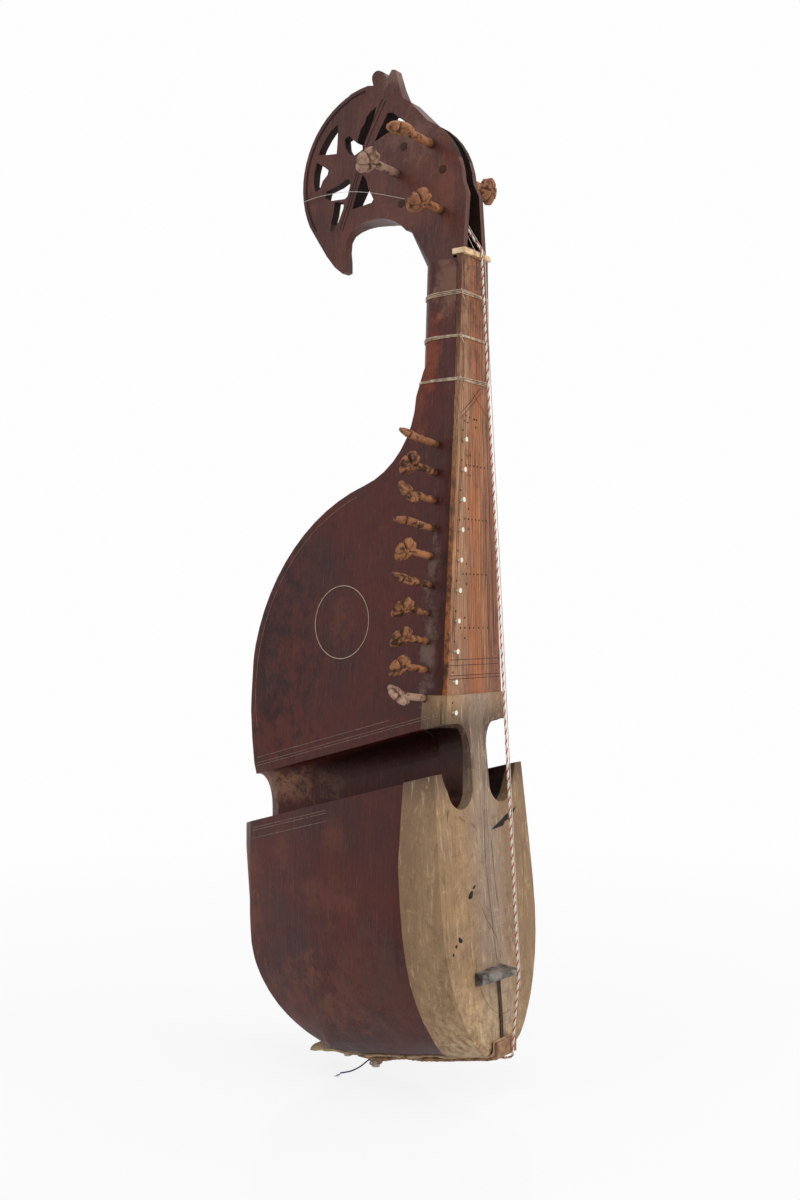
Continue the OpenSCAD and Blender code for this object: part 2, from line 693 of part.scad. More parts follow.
// Routes of the strings
nut_y = -nut_rise;
crown_y = belly_y(bridge_z) - skin_t - bridge_h;
melody_route = [
    [4, 18, 792], [4, 8, 768], [4, nut_y - melody_r - 0.1, nut_z + 3.5], [4, nut_y - melody_r - 0.1, nut_z - 3.5],
    [4.6, crown_y - melody_r - 0.3, bridge_z + 2.5], [4.8, crown_y - melody_r - 0.3, bridge_z - 2.5],
    [6.5, strap_face_y - 2, 52], [6.5, strap_face_y - 1.2, 42], [6.5, strap_face_y + 0.2, 30.6],
    [6.5, -22, under(-11) - 0.6], [6.5, 32, under(32) - 0.3], [5.8, 76, under(76) - 0.3],
    [5.2, button_y - 11, under(button_y - 11) - 0.4]
];
thin_route = [
    [3, 32, 812], [8.5, 7, 768], [10.5, nut_y - thin_r - 0.1, nut_z + 3], [10.5, nut_y - thin_r - 0.1, nut_z - 3],
    [7.4, crown_y - thin_r - 0.2, bridge_z + 2.5], [7.6, crown_y - thin_r - 0.2, bridge_z - 2.5],
    [9.6, belly_y(60) - 3, 60]
];

module melody_string() {
    color([0.82, 0.66, 0.58]) placed() tube(melody_route, melody_r);
}

module thin_string() {
    color([0.80, 0.76, 0.62]) placed() tube(thin_route, thin_r);
}

module tail_gut() {
    color([0.16, 0.12, 0.10]) placed() for (k = [0, 1]) tube([
        [1 + 2.4 * k, belly_y(94) - skin_t - 1.2, 97], [0.5 + 2.4 * k, belly_y(60) - skin_t - 1.2, 60],
        [-1 + 2.4 * k, belly_y(48) - skin_t - 1.2, 48]
    ], 0.8);
}

// Leather strap layers under the bowl; layer 0 lies on the wood
strap_end_y = 176;
strap_outer_end_y = 119;
module strap_layer(layer, end_y) {
    a = layer * (strap_t + 0.02) + 0.02;
    b = a + strap_t;
    f = belly_y(belly_foot_z) - skin_t - 0.3;
    free = end_y > button_y + 20
        ? [[tail_y, keel_z], [strap_outer_end_y + 1, keel_z], [button_y + 34, keel_z - 3.2], [end_y, keel_z - 4.4]]
        : [[tail_y, keel_z], [end_y, keel_z]];
    line = concat(
        [[belly_y(belly_foot_z) + 4, belly_foot_z - 1 - skin_t], [-11, 34 - skin_t - 0.1], [18, 28.4 - skin_t]],
        [for (p = keel_line) if (p[0] > 0) p], free
    );
    n = len(line);
    translate([-strap_w / 2, 0, 0]) rotate([90, 0, 90]) linear_extrude(strap_w) polygon(concat(
        [[f - a, belly_foot_z + 11], [f - b, belly_foot_z + 11], [f - b, belly_foot_z - b + 1]],
        [for (p = line) [p[0], p[1] - b]],
        [for (i = [n - 1:-1:0]) [line[i][0], line[i][1] - a]],
        [[f - a, belly_foot_z - a + 1]]
    ));
}

module strap_holes() {
    for (y = [button_y, strap_button_y]) translate([0, y, -20]) cylinder(h = 60, r = button_shank_r + peg_play);
}

module tail_strap_inner() {
    color([0.52, 0.36, 0.22]) placed() difference() {
        strap_layer(0, strap_end_y);
        strap_holes();
    }
}

module tail_strap_outer() {
    color([0.38, 0.22, 0.13]) placed() difference() {
        strap_layer(1, strap_outer_end_y);
        strap_holes();
    }
}

// Bone buttons: a shank in the wood and a plain round stub below the strap
button_shank_r = 3;
strap_button_y = 143;
strap_button_r = 3.8;
strap_button_len = 6.5;
strap_button_z = keel_z - 3.6 - strap_t;
module tail_button() {
    color(bone) placed() translate([0, button_y, strap_low_z - button_len]) {
        cylinder(h = button_len, r = button_r);
        cylinder(h = button_len + 2 * strap_t + bowl_wall, r = button_shank_r);
    }
}

module strap_button() {
    color(bone) placed() translate([0, strap_button_y, strap_button_z - strap_button_len]) {
        cylinder(h = strap_button_len, r = strap_button_r);
        cylinder(h = strap_button_len + strap_t + bowl_wall + 6, r = button_shank_r);
    }
}

// Short dark thread from the tail button to the ground
module tail_thread() {
    color([0.20, 0.16, 0.34]) placed() tube([
        [-9, button_y - 2, under(button_y) - 0.2], [-14, button_y + 1, 4.4], [-20, button_y + 4, 0.8],
        [-28, button_y + 8, -1.7], [-38, button_y + 13, -1.9]
    ], 0.7, 6);
}

body();
head();
fingerboard();
skin();
nut();
fret(0);  // fret_1
fret(1);  // fret_2
fret(2);  // fret_3
bridge();
guide_pins();
melody_string();
thin_string();
tail_gut();
tail_strap_inner();
tail_strap_outer();
tail_button();
strap_button();
tail_thread();
main_peg(0);  // main_peg_1
main_peg(1);  // main_peg_2
main_peg(2);  // main_peg_3
main_peg(3);  // main_peg_4
main_peg(4);  // main_peg_5
main_peg(5);  // main_peg_6
sympathetic_peg(0);  // sympathetic_peg_01
sympathetic_peg(1);  // sympathetic_peg_02
sympathetic_peg(2);  // sympathetic_peg_03
sympathetic_peg(3);  // sympathetic_peg_04
sympathetic_peg(4);  // sympathetic_peg_05
sympathetic_peg(5);  // sympathetic_peg_06
sympathetic_peg(6);  // sympathetic_peg_07
sympathetic_peg(7);  // sympathetic_peg_08
sympathetic_peg(8);  // sympathetic_peg_09
sympathetic_peg(9);  // sympathetic_peg_10
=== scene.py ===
# %% [markdown]
# # A rubab, dressed for the studio
# The wooden solids of the instrument come from its construction model. This lesson loads them, sets up the
# camera and the light, mixes the finishes from procedural nodes, and then makes the pieces that need a
# softer hand than a solid modeller has: the stretched skin, the curled leather, the twisted string.

# %% Load the model
import bpy
import bmesh
import json
import math
from mathutils import Matrix, Vector, noise
from mathutils.bvhtree import BVHTree


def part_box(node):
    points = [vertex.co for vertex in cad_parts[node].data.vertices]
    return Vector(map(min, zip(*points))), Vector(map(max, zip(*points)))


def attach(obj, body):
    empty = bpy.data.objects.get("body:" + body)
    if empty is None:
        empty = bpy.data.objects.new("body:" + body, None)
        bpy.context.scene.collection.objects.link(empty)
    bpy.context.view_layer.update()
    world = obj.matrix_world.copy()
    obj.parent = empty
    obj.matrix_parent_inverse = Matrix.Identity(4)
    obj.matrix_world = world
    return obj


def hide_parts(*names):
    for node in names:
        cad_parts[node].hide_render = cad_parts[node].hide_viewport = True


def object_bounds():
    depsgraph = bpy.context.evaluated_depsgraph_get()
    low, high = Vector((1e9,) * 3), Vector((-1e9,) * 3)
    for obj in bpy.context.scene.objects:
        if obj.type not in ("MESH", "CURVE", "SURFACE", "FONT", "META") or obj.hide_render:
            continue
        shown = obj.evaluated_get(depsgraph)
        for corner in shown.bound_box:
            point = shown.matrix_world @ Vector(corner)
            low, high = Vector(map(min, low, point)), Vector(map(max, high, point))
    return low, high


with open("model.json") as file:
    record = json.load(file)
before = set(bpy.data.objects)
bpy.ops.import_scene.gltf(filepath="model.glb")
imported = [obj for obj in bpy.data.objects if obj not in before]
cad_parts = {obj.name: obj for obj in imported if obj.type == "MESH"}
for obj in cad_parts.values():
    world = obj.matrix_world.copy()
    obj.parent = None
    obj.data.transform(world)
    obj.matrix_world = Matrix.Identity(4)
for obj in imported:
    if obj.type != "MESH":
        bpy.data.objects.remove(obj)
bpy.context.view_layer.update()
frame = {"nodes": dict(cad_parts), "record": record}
bpy.ops.object.select_all(action="DESELECT")
MM = 0.001

# %% [markdown]
# The drawing of the instrument measures depth from the fingerboard's face and height from the floor line of
# its tail. The model's own origin is in the tail button, so one small function turns a place on the drawing,
# in millimetres, into a place in the scene, in metres. Everything below is written in drawing sizes.

# %% From the drawing to the scene
BUTTON_DEPTH = 110.0
DRAWING_DROP = 2.9


def at(x, y, z):
    return Vector((x * MM, (y - BUTTON_DEPTH) * MM, (z - DRAWING_DROP) * MM))


print("nut at", tuple(round(v, 4) for v in at(0, 0, 746)))

# %% [markdown]
# ## Camera
# The instrument is seen from its near side, a little in front of it, by a level camera. The picture is
# upright, so the sensor is fitted to its height, and a small vertical shift puts the horizon where it was
# instead of tipping the camera, which would make the neck lean.

# %% Camera
bpy.ops.object.camera_add(location=(-1.06254, -0.77184, 0.41510))
camera = bpy.context.object
camera.name = "studio_camera"
camera.data.sensor_fit = "VERTICAL"
camera.data.sensor_height = 24.0
camera.data.lens = 27.82
camera.data.shift_y = 20 / 1200
camera.data.clip_end = 50
look = Vector((0.819152, 0.573576, 0.0))
camera.rotation_euler = look.to_track_quat("-Z", "Y").to_euler()
bpy.context.scene.camera = camera
print("camera", tuple(round(v, 3) for v in camera.location))

# %% [markdown]
# ## Finishes
# Each finish is a node material. Colours are written as they look on a screen and turned into the linear
# values that Blender wants. A short helper adds a node and sets or links its sockets by name, so that a
# finish reads from top to bottom like a recipe.

# %% Helpers for node recipes


def tone(code):
    parts = [int(code[i:i + 2], 16) / 255 for i in (1, 3, 5)]
    return tuple([p / 12.92 if p <= 0.04045 else ((p + 0.055) / 1.055) ** 2.4 for p in parts] + [1.0])


def put(tree, kind, sockets=None, **settings):
    made = tree.nodes.new(kind)
    for key, value in settings.items():
        setattr(made, key, value)
    for key, value in (sockets or {}).items():
        socket = made.inputs[key]
        if isinstance(value, bpy.types.NodeSocket):
            tree.links.new(value, socket)
        else:
            socket.default_value = value
    return made


def blend_tones(tree, share, first, second, mode="MIX"):
    made = put(tree, "ShaderNodeMix", data_type="RGBA", blend_type=mode)
    for socket, value in zip((made.inputs[0], made.inputs[6], made.inputs[7]), (share, first, second)):
        if isinstance(value, bpy.types.NodeSocket):
            tree.links.new(value, socket)
        else:
            socket.default_value = value
    return made.outputs[2]


def between(tree, value, low, high, to_low=0.0, to_high=1.0):
    made = put(tree, "ShaderNodeMapRange", {
        "Value": value, "From Min": low, "From Max": high, "To Min": to_low, "To Max": to_high}, clamp=True)
    return made.outputs[0]


def maths(tree, operation, first, second=0.5):
    made = put(tree, "ShaderNodeMath", operation=operation)
    for socket, value in zip(made.inputs, (first, second)):
        if isinstance(value, bpy.types.NodeSocket):
            tree.links.new(value, socket)
        else:
            socket.default_value = value
    return made.outputs[0]


def new_group(name, inputs, outputs):
    tree = bpy.data.node_groups.new(name, "ShaderNodeTree")
    for label, kind, default in inputs:
        socket = tree.interface.new_socket(name=label, in_out="INPUT", socket_type="NodeSocket" + kind)
        socket.default_value = default
    for label, kind in outputs:
        tree.interface.new_socket(name=label, in_out="OUTPUT", socket_type="NodeSocket" + kind)
    return tree, tree.nodes.new("NodeGroupInput"), tree.nodes.new("NodeGroupOutput")


def place_group(tree, group, sockets=None):
    made = tree.nodes.new("ShaderNodeGroup")
    made.node_tree = group
    for key, value in (sockets or {}).items():
        if isinstance(value, bpy.types.NodeSocket):
            tree.links.new(value, made.inputs[key])
        else:
            made.inputs[key].default_value = value
    return made


print("a warm brown is", [round(v, 3) for v in tone("#7a4a34")])

# %% [markdown]
# Grain is the same effect on every wooden piece, only with other sizes: noise that is drawn out along the
# neck. It is one node group, placed in each wood with its own values. A second group makes a soft round
# patch with a ragged edge, for the places that hands and thighs have rubbed, and also for painted shade and
# painted highlights on the body and head.

# %% Shared node groups
grain_group, given, out = new_group(
    "wood_grain",
    [("Fine", "Float", 260.0), ("Stretch", "Float", 0.06), ("Wander", "Float", 0.6)],
    [("Streak", "Float"), ("Pore", "Float")])
t = grain_group
place = put(t, "ShaderNodeTexCoord").outputs["Object"]
squeeze = put(t, "ShaderNodeCombineXYZ", {"X": 1.0, "Y": 1.0, "Z": given.outputs["Stretch"]})
long_place = put(t, "ShaderNodeVectorMath", {0: place, 1: squeeze.outputs[0]}, operation="MULTIPLY").outputs[0]
streak = put(t, "ShaderNodeTexNoise", {
    "Vector": long_place, "Scale": given.outputs["Fine"], "Detail": 6.0, "Roughness": 0.62,
    "Distortion": given.outputs["Wander"]})
fine_scale = maths(t, "MULTIPLY", given.outputs["Fine"], 4.5)
pore = put(t, "ShaderNodeTexNoise", {
    "Vector": long_place, "Scale": fine_scale, "Detail": 3.0, "Roughness": 0.7})
t.links.new(between(t, streak.outputs[0], 0.3, 0.7), out.inputs["Streak"])
t.links.new(between(t, pore.outputs[0], 0.42, 0.66), out.inputs["Pore"])

patch_group, given, out = new_group(
    "wear_and_painted_light_patch",
    [("Centre", "Vector", (0.0, 0.0, 0.0)), ("Size", "Vector", (0.05, 0.05, 0.05)), ("Ragged", "Float", 1.2)],
    [("Mask", "Float")])
t = patch_group
place = put(t, "ShaderNodeTexCoord").outputs["Object"]
away = put(t, "ShaderNodeVectorMath", {0: place, 1: given.outputs["Centre"]}, operation="SUBTRACT").outputs[0]
away = put(t, "ShaderNodeVectorMath", {0: away, 1: given.outputs["Size"]}, operation="DIVIDE").outputs[0]
far = put(t, "ShaderNodeVectorMath", {0: away}, operation="LENGTH").outputs["Value"]
rough_edge = put(t, "ShaderNodeTexNoise", {"Vector": place, "Scale": 48.0, "Detail": 9.0, "Roughness": 0.74})
ragged = maths(t, "MULTIPLY", maths(t, "SUBTRACT", rough_edge.outputs[0], 0.5), given.outputs["Ragged"])
far = maths(t, "ADD", far, maths(t, "MULTIPLY", ragged, 4.0))
t.links.new(between(t, far, 0.35, 1.0, 1.0, 0.0), out.inputs["Mask"])
print("groups", [g.name for g in (grain_group, patch_group)])

# %% [markdown]
# The dark wood is old mulberry under a century of oil: nearly black-brown where it is thick, redder where
# the grain opens, and orange-brown where the finish has gone. Its gloss is uneven, so roughness comes from
# the same noise as the colour, and fine scratches feed the bump.

# %% Dark wood


def start_material(name, mirror=0.3):
    made = bpy.data.materials.new(name)
    made.use_nodes = True
    tree = made.node_tree
    tree.nodes.clear()
    shader = put(tree, "ShaderNodeBsdfPrincipled", {"Specular IOR Level": mirror})
    output = put(tree, "ShaderNodeOutputMaterial")
    tree.links.new(shader.outputs[0], output.inputs[0])
    return made, tree, shader


def object_place(tree):
    return put(tree, "ShaderNodeTexCoord").outputs["Object"]


def set_bump(tree, shader, height, strength=0.3, distance=0.0006):
    made = put(tree, "ShaderNodeBump", {"Height": height, "Strength": strength, "Distance": distance})
    tree.links.new(made.outputs[0], shader.inputs["Normal"])


def wood(name, deep, mid, worn, patches=(), fine=230.0, stretch=0.05, gloss=(0.30, 0.55), coat=0.08, pores=0.5,
         scratches=0.35, grime_tone="#1d1412", painted_waist_shade=False):
    made, tree, shader = start_material(name, 0.15)
    place = object_place(tree)
    grain = place_group(tree, grain_group, {"Fine": fine, "Stretch": stretch})
    cloud = put(tree, "ShaderNodeTexNoise", {"Vector": place, "Scale": 11.0, "Detail": 7.0, "Roughness": 0.66})
    colour = blend_tones(tree, between(tree, cloud.outputs[0], 0.36, 0.62, 0.0, 0.75), tone(deep), tone(mid))
    colour = blend_tones(tree, maths(tree, "MULTIPLY", grain.outputs["Streak"], 0.6), colour, tone(mid))
    colour = blend_tones(tree, maths(tree, "MULTIPLY", grain.outputs["Pore"], pores), colour, tone(deep))
    # Patches with their own colour are partly real wear and partly painted shade and painted highlights.
    for centre, size, share, *own in patches:
        patch = place_group(tree, patch_group, {"Centre": at(*centre), "Size": Vector(size) * MM})
        colour = blend_tones(tree, maths(tree, "MULTIPLY", patch.outputs["Mask"], share), colour,
                             tone(own[0] if own else worn))
    # Painted shade: the web of the waist darkens towards the ceiling of the upper chamber, most strongly at the front.
    if painted_waist_shade:
        parts = put(tree, "ShaderNodeSeparateXYZ", {0: place}).outputs
        depth = maths(tree, "ADD", parts["Y"], 0.110)
        level = maths(tree, "ADD", parts["Z"], maths(tree, "MULTIPLY", depth, 0.2605))
        inner = maths(tree, "ADD", maths(tree, "ABSOLUTE", parts["X"]), maths(tree, "MULTIPLY", depth, 0.102))
        inside = between(tree, inner, 0.040, 0.046, 1.0, 0.0)
        under = maths(tree, "MULTIPLY", between(tree, level, 0.283, 0.318), between(tree, depth, 0.12, 0.21, 0.92, 0.35))
        above = between(tree, level, 0.324, 0.327, 1.0, 0.0)
        shade = maths(tree, "MULTIPLY", maths(tree, "MULTIPLY", under, inside), above)
        colour = blend_tones(tree, shade, colour, tone("#150a07"))
    along = put(tree, "ShaderNodeVectorMath", {0: place, 1: (1.0, 0.7, 0.035)}, operation="MULTIPLY").outputs[0]
    scratch = put(tree, "ShaderNodeTexNoise", {"Vector": along, "Scale": 620.0, "Detail": 3.0, "Roughness": 0.8})
    colour = blend_tones(tree, between(tree, scratch.outputs[0], 0.60, 0.72, 0.0, scratches), colour, tone(worn))
    speck = put(tree, "ShaderNodeTexNoise", {"Vector": place, "Scale": 300.0, "Detail": 6.0, "Roughness": 0.8})
    colour = blend_tones(tree, between(tree, speck.outputs[0], 0.635, 0.69, 0.0, 0.6), colour, tone(worn))
    colour = blend_tones(tree, between(tree, speck.outputs[0], 0.36, 0.30, 0.0, 0.8), colour, tone(grime_tone))
    grime = put(tree, "ShaderNodeAttribute", attribute_name="grime").outputs["Fac"]
    colour = blend_tones(tree, grime, colour, tone(grime_tone))
    tree.links.new(colour, shader.inputs["Base Color"])
    rough = between(tree, cloud.outputs[0], 0.3, 0.7, gloss[0], gloss[1])
    tree.links.new(maths(tree, "ADD", rough, maths(tree, "MULTIPLY", grime, 0.2)), shader.inputs["Roughness"])
    shader.inputs["Coat Weight"].default_value = coat
    shader.inputs["Coat Roughness"].default_value = 0.25
    height = maths(tree, "ADD", maths(tree, "MULTIPLY", grain.outputs["Streak"], 0.7), grain.outputs["Pore"])
    height = maths(tree, "ADD", height, maths(tree, "MULTIPLY", scratch.outputs[0], 1.5))
    set_bump(tree, shader, height, 0.35, 0.0005)
    return made


BODY_PATCHES = [
    ((-75, 60, 90), (60, 90, 55), 0.18), ((-70, 150, 60), (60, 70, 45), 0.25), ((-60, 235, 150), (60, 24, 80), 0.30),
    # The first patch on the next line is painted light: the back of the waist's web made lighter, as if lit from the
    # front.
    ((-22, 205, 262), (16, 60, 22), 0.8, "#8f6247"), ((-66, 110, 225), (40, 22, 16), 0.28), ((-70, 185, 200), (40, 16, 34), 0.25),
    ((-70, 120, 165), (40, 50, 20), 0.18), ((-50, 240, 330), (60, 10, 60), 0.25), ((-50, 127, 418), (60, 16, 26), 0.22),
    ((75, 120, 120), (60, 90, 70), 0.30), ((45, 120, 420), (60, 70, 90), 0.25), ((0, 60, 660), (60, 60, 60), 0.20),
    # The first patch on the next line is painted shade: the back of the upper chamber's flank made darker.
    ((-60, 235, 410), (60, 90, 190), 0.9, "#220705"), ((-70, 90, 250), (60, 150, 40), 0.45, "#351814"),
    ((-80, 40, 110), (60, 60, 60), 0.30, "#3a2a28"), ((-55, 40, 345), (50, 60, 22), 0.45, "#2b1512"),
    ((-20, 10, 300), (30, 26, 36), 0.7, "#3a2318"),
    # Painted shade: the inner walls of the scoops beside the stem, made near black.
    ((48, 10, 262), (26, 40, 34), 0.95, "#1c1210"), ((-48, 10, 262), (26, 40, 34), 0.95, "#1c1210"),
    # Painted reflections on the rounded front edge of the near flank: a pale grey highlight band among the small pegs
    # and a dark band just in front of it.
    ((-48, 20, 460), (12, 9, 130), 0.5, "#8a7466"), ((-46, 3, 470), (12, 9, 150), 0.6, "#1f1311"),
    ((-24, 30, 660), (8, 12, 50), 0.55, "#8a3d1c"), ((-28, 44, 625), (12, 14, 36), 0.45, "#7c3a20"),
    ((-22, 12, 715), (14, 26, 26), 0.45, "#8f6a52"),
]
dark_wood = wood("dark_wood", "#260d0b", "#5c261d", "#84492f", BODY_PATCHES, painted_waist_shade=True)
HEAD_PATCHES = [
    ((-12, 60, 800), (20, 60, 50), 0.3, "#7b4433"), ((-12, 150, 900), (20, 40, 30), 0.35, "#2a1512"),
    ((-12, 176, 800), (20, 30, 60), 0.35, "#2a1512"), ((-12, 66, 862), (20, 34, 24), 0.35, "#8a6350"),
    ((-12, 20, 830), (20, 12, 60), 0.3, "#7a3f2c"), ((-12, 85, 925), (40, 20, 18), 0.4, "#8a7263"),
    # The last patch is painted shade inside the pegbox slot.
    ((0, 50, 800), (7.5, 60, 60), 0.9, "#20120d"),
]
head_wood = wood("head_wood", "#331712", "#673a30", "#9a6a4a", HEAD_PATCHES)
edge_wood = wood("edge_wood", "#3d2018", "#7c4c33", "#a9764c", fine=300.0, coat=0.06, gloss=(0.4, 0.6))
# Painted shade: a near-black wood for the inner walls of the head's piercings and pegbox slot.
pierced_shade_wood = wood("pierced_shade_wood", "#17100d", "#3a241b", "#5a3a2a", fine=300.0, coat=0.0, gloss=(0.6, 0.8))
print("wood finishes", dark_wood.name, head_wood.name, edge_wood.name)

# %% [markdown]
# The fingerboard is a lighter plank. Straight dark pores run its whole length, its edges are rubbed to
# orange, and the middle has gone grey under fingers. The pegs are a pale fruitwood, darkest in the carved
# hollows.

# %% Board and peg wood
board_wood, tree, shader = start_material("board_wood")
place = object_place(tree)
grain = place_group(tree, grain_group, {"Fine": 420.0, "Stretch": 0.012, "Wander": 0.2})
cloud = put(tree, "ShaderNodeTexNoise", {"Vector": place, "Scale": 22.0, "Detail": 6.0, "Roughness": 0.65})
across = put(tree, "ShaderNodeSeparateXYZ", {0: place}).outputs
half = between(tree, across["Z"], 0.349, 0.743, 0.0462, 0.0208)
share = maths(tree, "DIVIDE", across["X"], half)
wander = maths(tree, "MULTIPLY", maths(tree, "SUBTRACT", cloud.outputs[0], 0.5), 0.5)
share_wavy = maths(tree, "ADD", share, wander)
colour = blend_tones(tree, grain.outputs["Streak"], tone("#6b3d26"), tone("#c98a5c"))
left = between(tree, share_wavy, -0.55, -0.3, 0.75, 0.0)
colour = blend_tones(tree, maths(tree, "MULTIPLY", left, 0.9), colour, tone("#b98a63"))
glow = maths(tree, "MULTIPLY", between(tree, share_wavy, -0.3, -0.05), between(tree, share_wavy, 0.45, 0.2))
colour = blend_tones(tree, maths(tree, "MULTIPLY", glow, 0.75), colour, tone("#c2713a"))
right = between(tree, share_wavy, 0.45, 0.7, 0.0, 0.55)
colour = blend_tones(tree, right, colour, tone("#7e4029"))
neck = between(tree, across["Z"], 0.60, 0.68)
dirt = put(tree, "ShaderNodeTexNoise", {"Vector": place, "Scale": 60.0, "Detail": 7.0, "Roughness": 0.75})
neck_dirt = maths(tree, "MULTIPLY", neck, between(tree, dirt.outputs[0], 0.44, 0.58, 0.0, 0.7))
colour = blend_tones(tree, neck_dirt, colour, tone("#4a2c20"))
colour = blend_tones(tree, between(tree, dirt.outputs[0], 0.60, 0.68, 0.0, 0.6), colour, tone("#4a2c20"))
pore_share = between(tree, grain.outputs["Pore"], 0.15, 0.75, 0.0, 0.9)
colour = blend_tones(tree, pore_share, colour, tone("#351c13"))
rim = between(tree, maths(tree, "ABSOLUTE", share), 0.90, 0.97)
worn_rim = between(tree, dirt.outputs[0], 0.42, 0.56, 0.0, 0.85)
worn_rim = maths(tree, "MULTIPLY", worn_rim, maths(tree, "SUBTRACT", 1.0, maths(tree, "MULTIPLY", neck, 0.8)))
rim_colour = blend_tones(tree, worn_rim, tone("#43261b"), tone("#b8703e"))
colour = blend_tones(tree, rim, colour, rim_colour)
tree.links.new(colour, shader.inputs["Base Color"])
tree.links.new(between(tree, cloud.outputs[0], 0.3, 0.7, 0.36, 0.6), shader.inputs["Roughness"])
height = maths(tree, "SUBTRACT", grain.outputs["Streak"], maths(tree, "MULTIPLY", pore_share, 1.5))
set_bump(tree, shader, height, 0.5, 0.0005)
peg_wood = wood("peg_wood", "#6d432d", "#b47a52", "#dcb08a", fine=420.0, stretch=0.5, gloss=(0.4, 0.65), coat=0.03,
                scratches=0.2, grime_tone="#221815")
pale_peg_wood = wood("pale_peg_wood", "#8b6b59", "#c29d85", "#e8d2bc", fine=420.0, stretch=0.5, gloss=(0.45, 0.7),
                     coat=0.0, scratches=0.2, grime_tone="#33261f")
print("board and pegs", board_wood.name, peg_wood.name)

# %% [markdown]
# Goat skin is thin rawhide. It is grey down the middle, where fingers rest, and yellow towards the folds;
# it mottles at every size, shows small hair pores, and is darker along its cut edge.

# %% Goat skin
goat_skin, tree, shader = start_material("goat_skin")
place = object_place(tree)
parts = put(tree, "ShaderNodeSeparateXYZ", {0: place}).outputs
big = put(tree, "ShaderNodeTexNoise", {"Vector": place, "Scale": 16.0, "Detail": 7.0, "Roughness": 0.62, "Distortion": 0.4})
small = put(tree, "ShaderNodeTexNoise", {"Vector": place, "Scale": 120.0, "Detail": 6.0, "Roughness": 0.7})
hair = put(tree, "ShaderNodeTexNoise", {"Vector": place, "Scale": 900.0, "Detail": 2.0, "Roughness": 0.6})
colour = blend_tones(tree, between(tree, big.outputs[0], 0.32, 0.68), tone("#7b5b3f"), tone("#a68661"))
colour = blend_tones(tree, between(tree, small.outputs[0], 0.35, 0.7, 0.0, 0.55), colour, tone("#b3916a"))
middle = between(tree, maths(tree, "ABSOLUTE", maths(tree, "SUBTRACT", parts["X"], 0.004)), 0.012, 0.040, 1.0, 0.0)
colour = blend_tones(tree, maths(tree, "MULTIPLY", middle, 0.65), colour, tone("#8f7d70"))
low = between(tree, parts["Z"], 0.045, 0.12, 1.0, 0.0)
colour = blend_tones(tree, maths(tree, "MULTIPLY", low, between(tree, small.outputs[0], 0.4, 0.6)), colour, tone("#c2a67c"))
fold = between(tree, parts["Y"], -0.108, -0.088, 0.0, 0.6)
colour = blend_tones(tree, fold, colour, tone("#7b5b43"))
colour = blend_tones(tree, between(tree, hair.outputs[0], 0.58, 0.7, 0.0, 0.45), colour, tone("#5c4633"))
# Both sides of the skin are made browner and darker: partly the skin's own brown, partly painted shade.
right_side = between(tree, parts["X"], 0.016, 0.034, 0.0, 0.62)
left_side = between(tree, parts["X"], -0.045, -0.068, 0.0, 0.4)
colour = blend_tones(tree, maths(tree, "MAXIMUM", right_side, left_side), colour, tone("#7d6246"))
# The skin on the sides of the stem, inside the waist, is darkened to a deep brown: partly dirt, partly painted shade.
stem = maths(tree, "MULTIPLY", between(tree, parts["Z"], 0.255, 0.285), between(tree, parts["Z"], 0.345, 0.322))
stem_side = between(tree, maths(tree, "ADD", maths(tree, "ABSOLUTE", parts["X"]), maths(tree, "MULTIPLY", small.outputs[0], 0.012)), 0.012, 0.019)
stem_side = maths(tree, "MAXIMUM", stem_side, between(tree, parts["Y"], -0.118, -0.106))
colour = blend_tones(tree, maths(tree, "MULTIPLY", maths(tree, "MULTIPLY", stem, stem_side), 0.85), colour, tone("#3b261b"))
spots = put(tree, "ShaderNodeTexNoise", {"Vector": place, "Scale": 55.0, "Detail": 8.0, "Roughness": 0.8, "Distortion": 0.8})
colour = blend_tones(tree, between(tree, spots.outputs[0], 0.53, 0.66, 0.0, 0.6), colour, tone("#5f4430"))
fibres = put(tree, "ShaderNodeVectorMath", {0: place, 1: (1.0, 1.0, 0.12)}, operation="MULTIPLY").outputs[0]
fibre = put(tree, "ShaderNodeTexNoise", {"Vector": fibres, "Scale": 260.0, "Detail": 5.0, "Roughness": 0.75})
colour = blend_tones(tree, between(tree, fibre.outputs[0], 0.54, 0.68, 0.0, 0.55), colour, tone("#6b5542"))
colour = blend_tones(tree, between(tree, fibre.outputs[0], 0.44, 0.32, 0.0, 0.45), colour, tone("#d0bb98"))
colour = blend_tones(tree, between(tree, spots.outputs[0], 0.42, 0.32, 0.0, 0.5), colour, tone("#c8ab80"))
tree.links.new(colour, shader.inputs["Base Color"])
tree.links.new(between(tree, big.outputs[0], 0.3, 0.7, 0.5, 0.72), shader.inputs["Roughness"])
set_bump(tree, shader, maths(tree, "ADD", small.outputs[0], maths(tree, "MULTIPLY", hair.outputs[0], 0.4)), 0.5, 0.0008)
print("skin", goat_skin.name)

# %% [markdown]
# The small finishes share one recipe: two tones mixed by noise, a roughness range and a little bump. Bone
# is smooth and yellowed, horn is nearly black, gut is translucent tan, and the leathers are matt.

# %% Small finishes


def plain_finish(name, first, second, scale=150.0, gloss=(0.4, 0.6), bump=0.3, coat=0.0, detail=5.0):
    made, tree, shader = start_material(name)
    place = object_place(tree)
    noise = put(tree, "ShaderNodeTexNoise", {"Vector": place, "Scale": scale, "Detail": detail, "Roughness": 0.65})
    colour = blend_tones(tree, between(tree, noise.outputs[0], 0.35, 0.65), tone(first), tone(second))
    tree.links.new(colour, shader.inputs["Base Color"])
    tree.links.new(between(tree, noise.outputs[0], 0.3, 0.7, gloss[0], gloss[1]), shader.inputs["Roughness"])
    shader.inputs["Coat Weight"].default_value = coat
    set_bump(tree, shader, noise.outputs[0], bump, 0.0004)
    return made


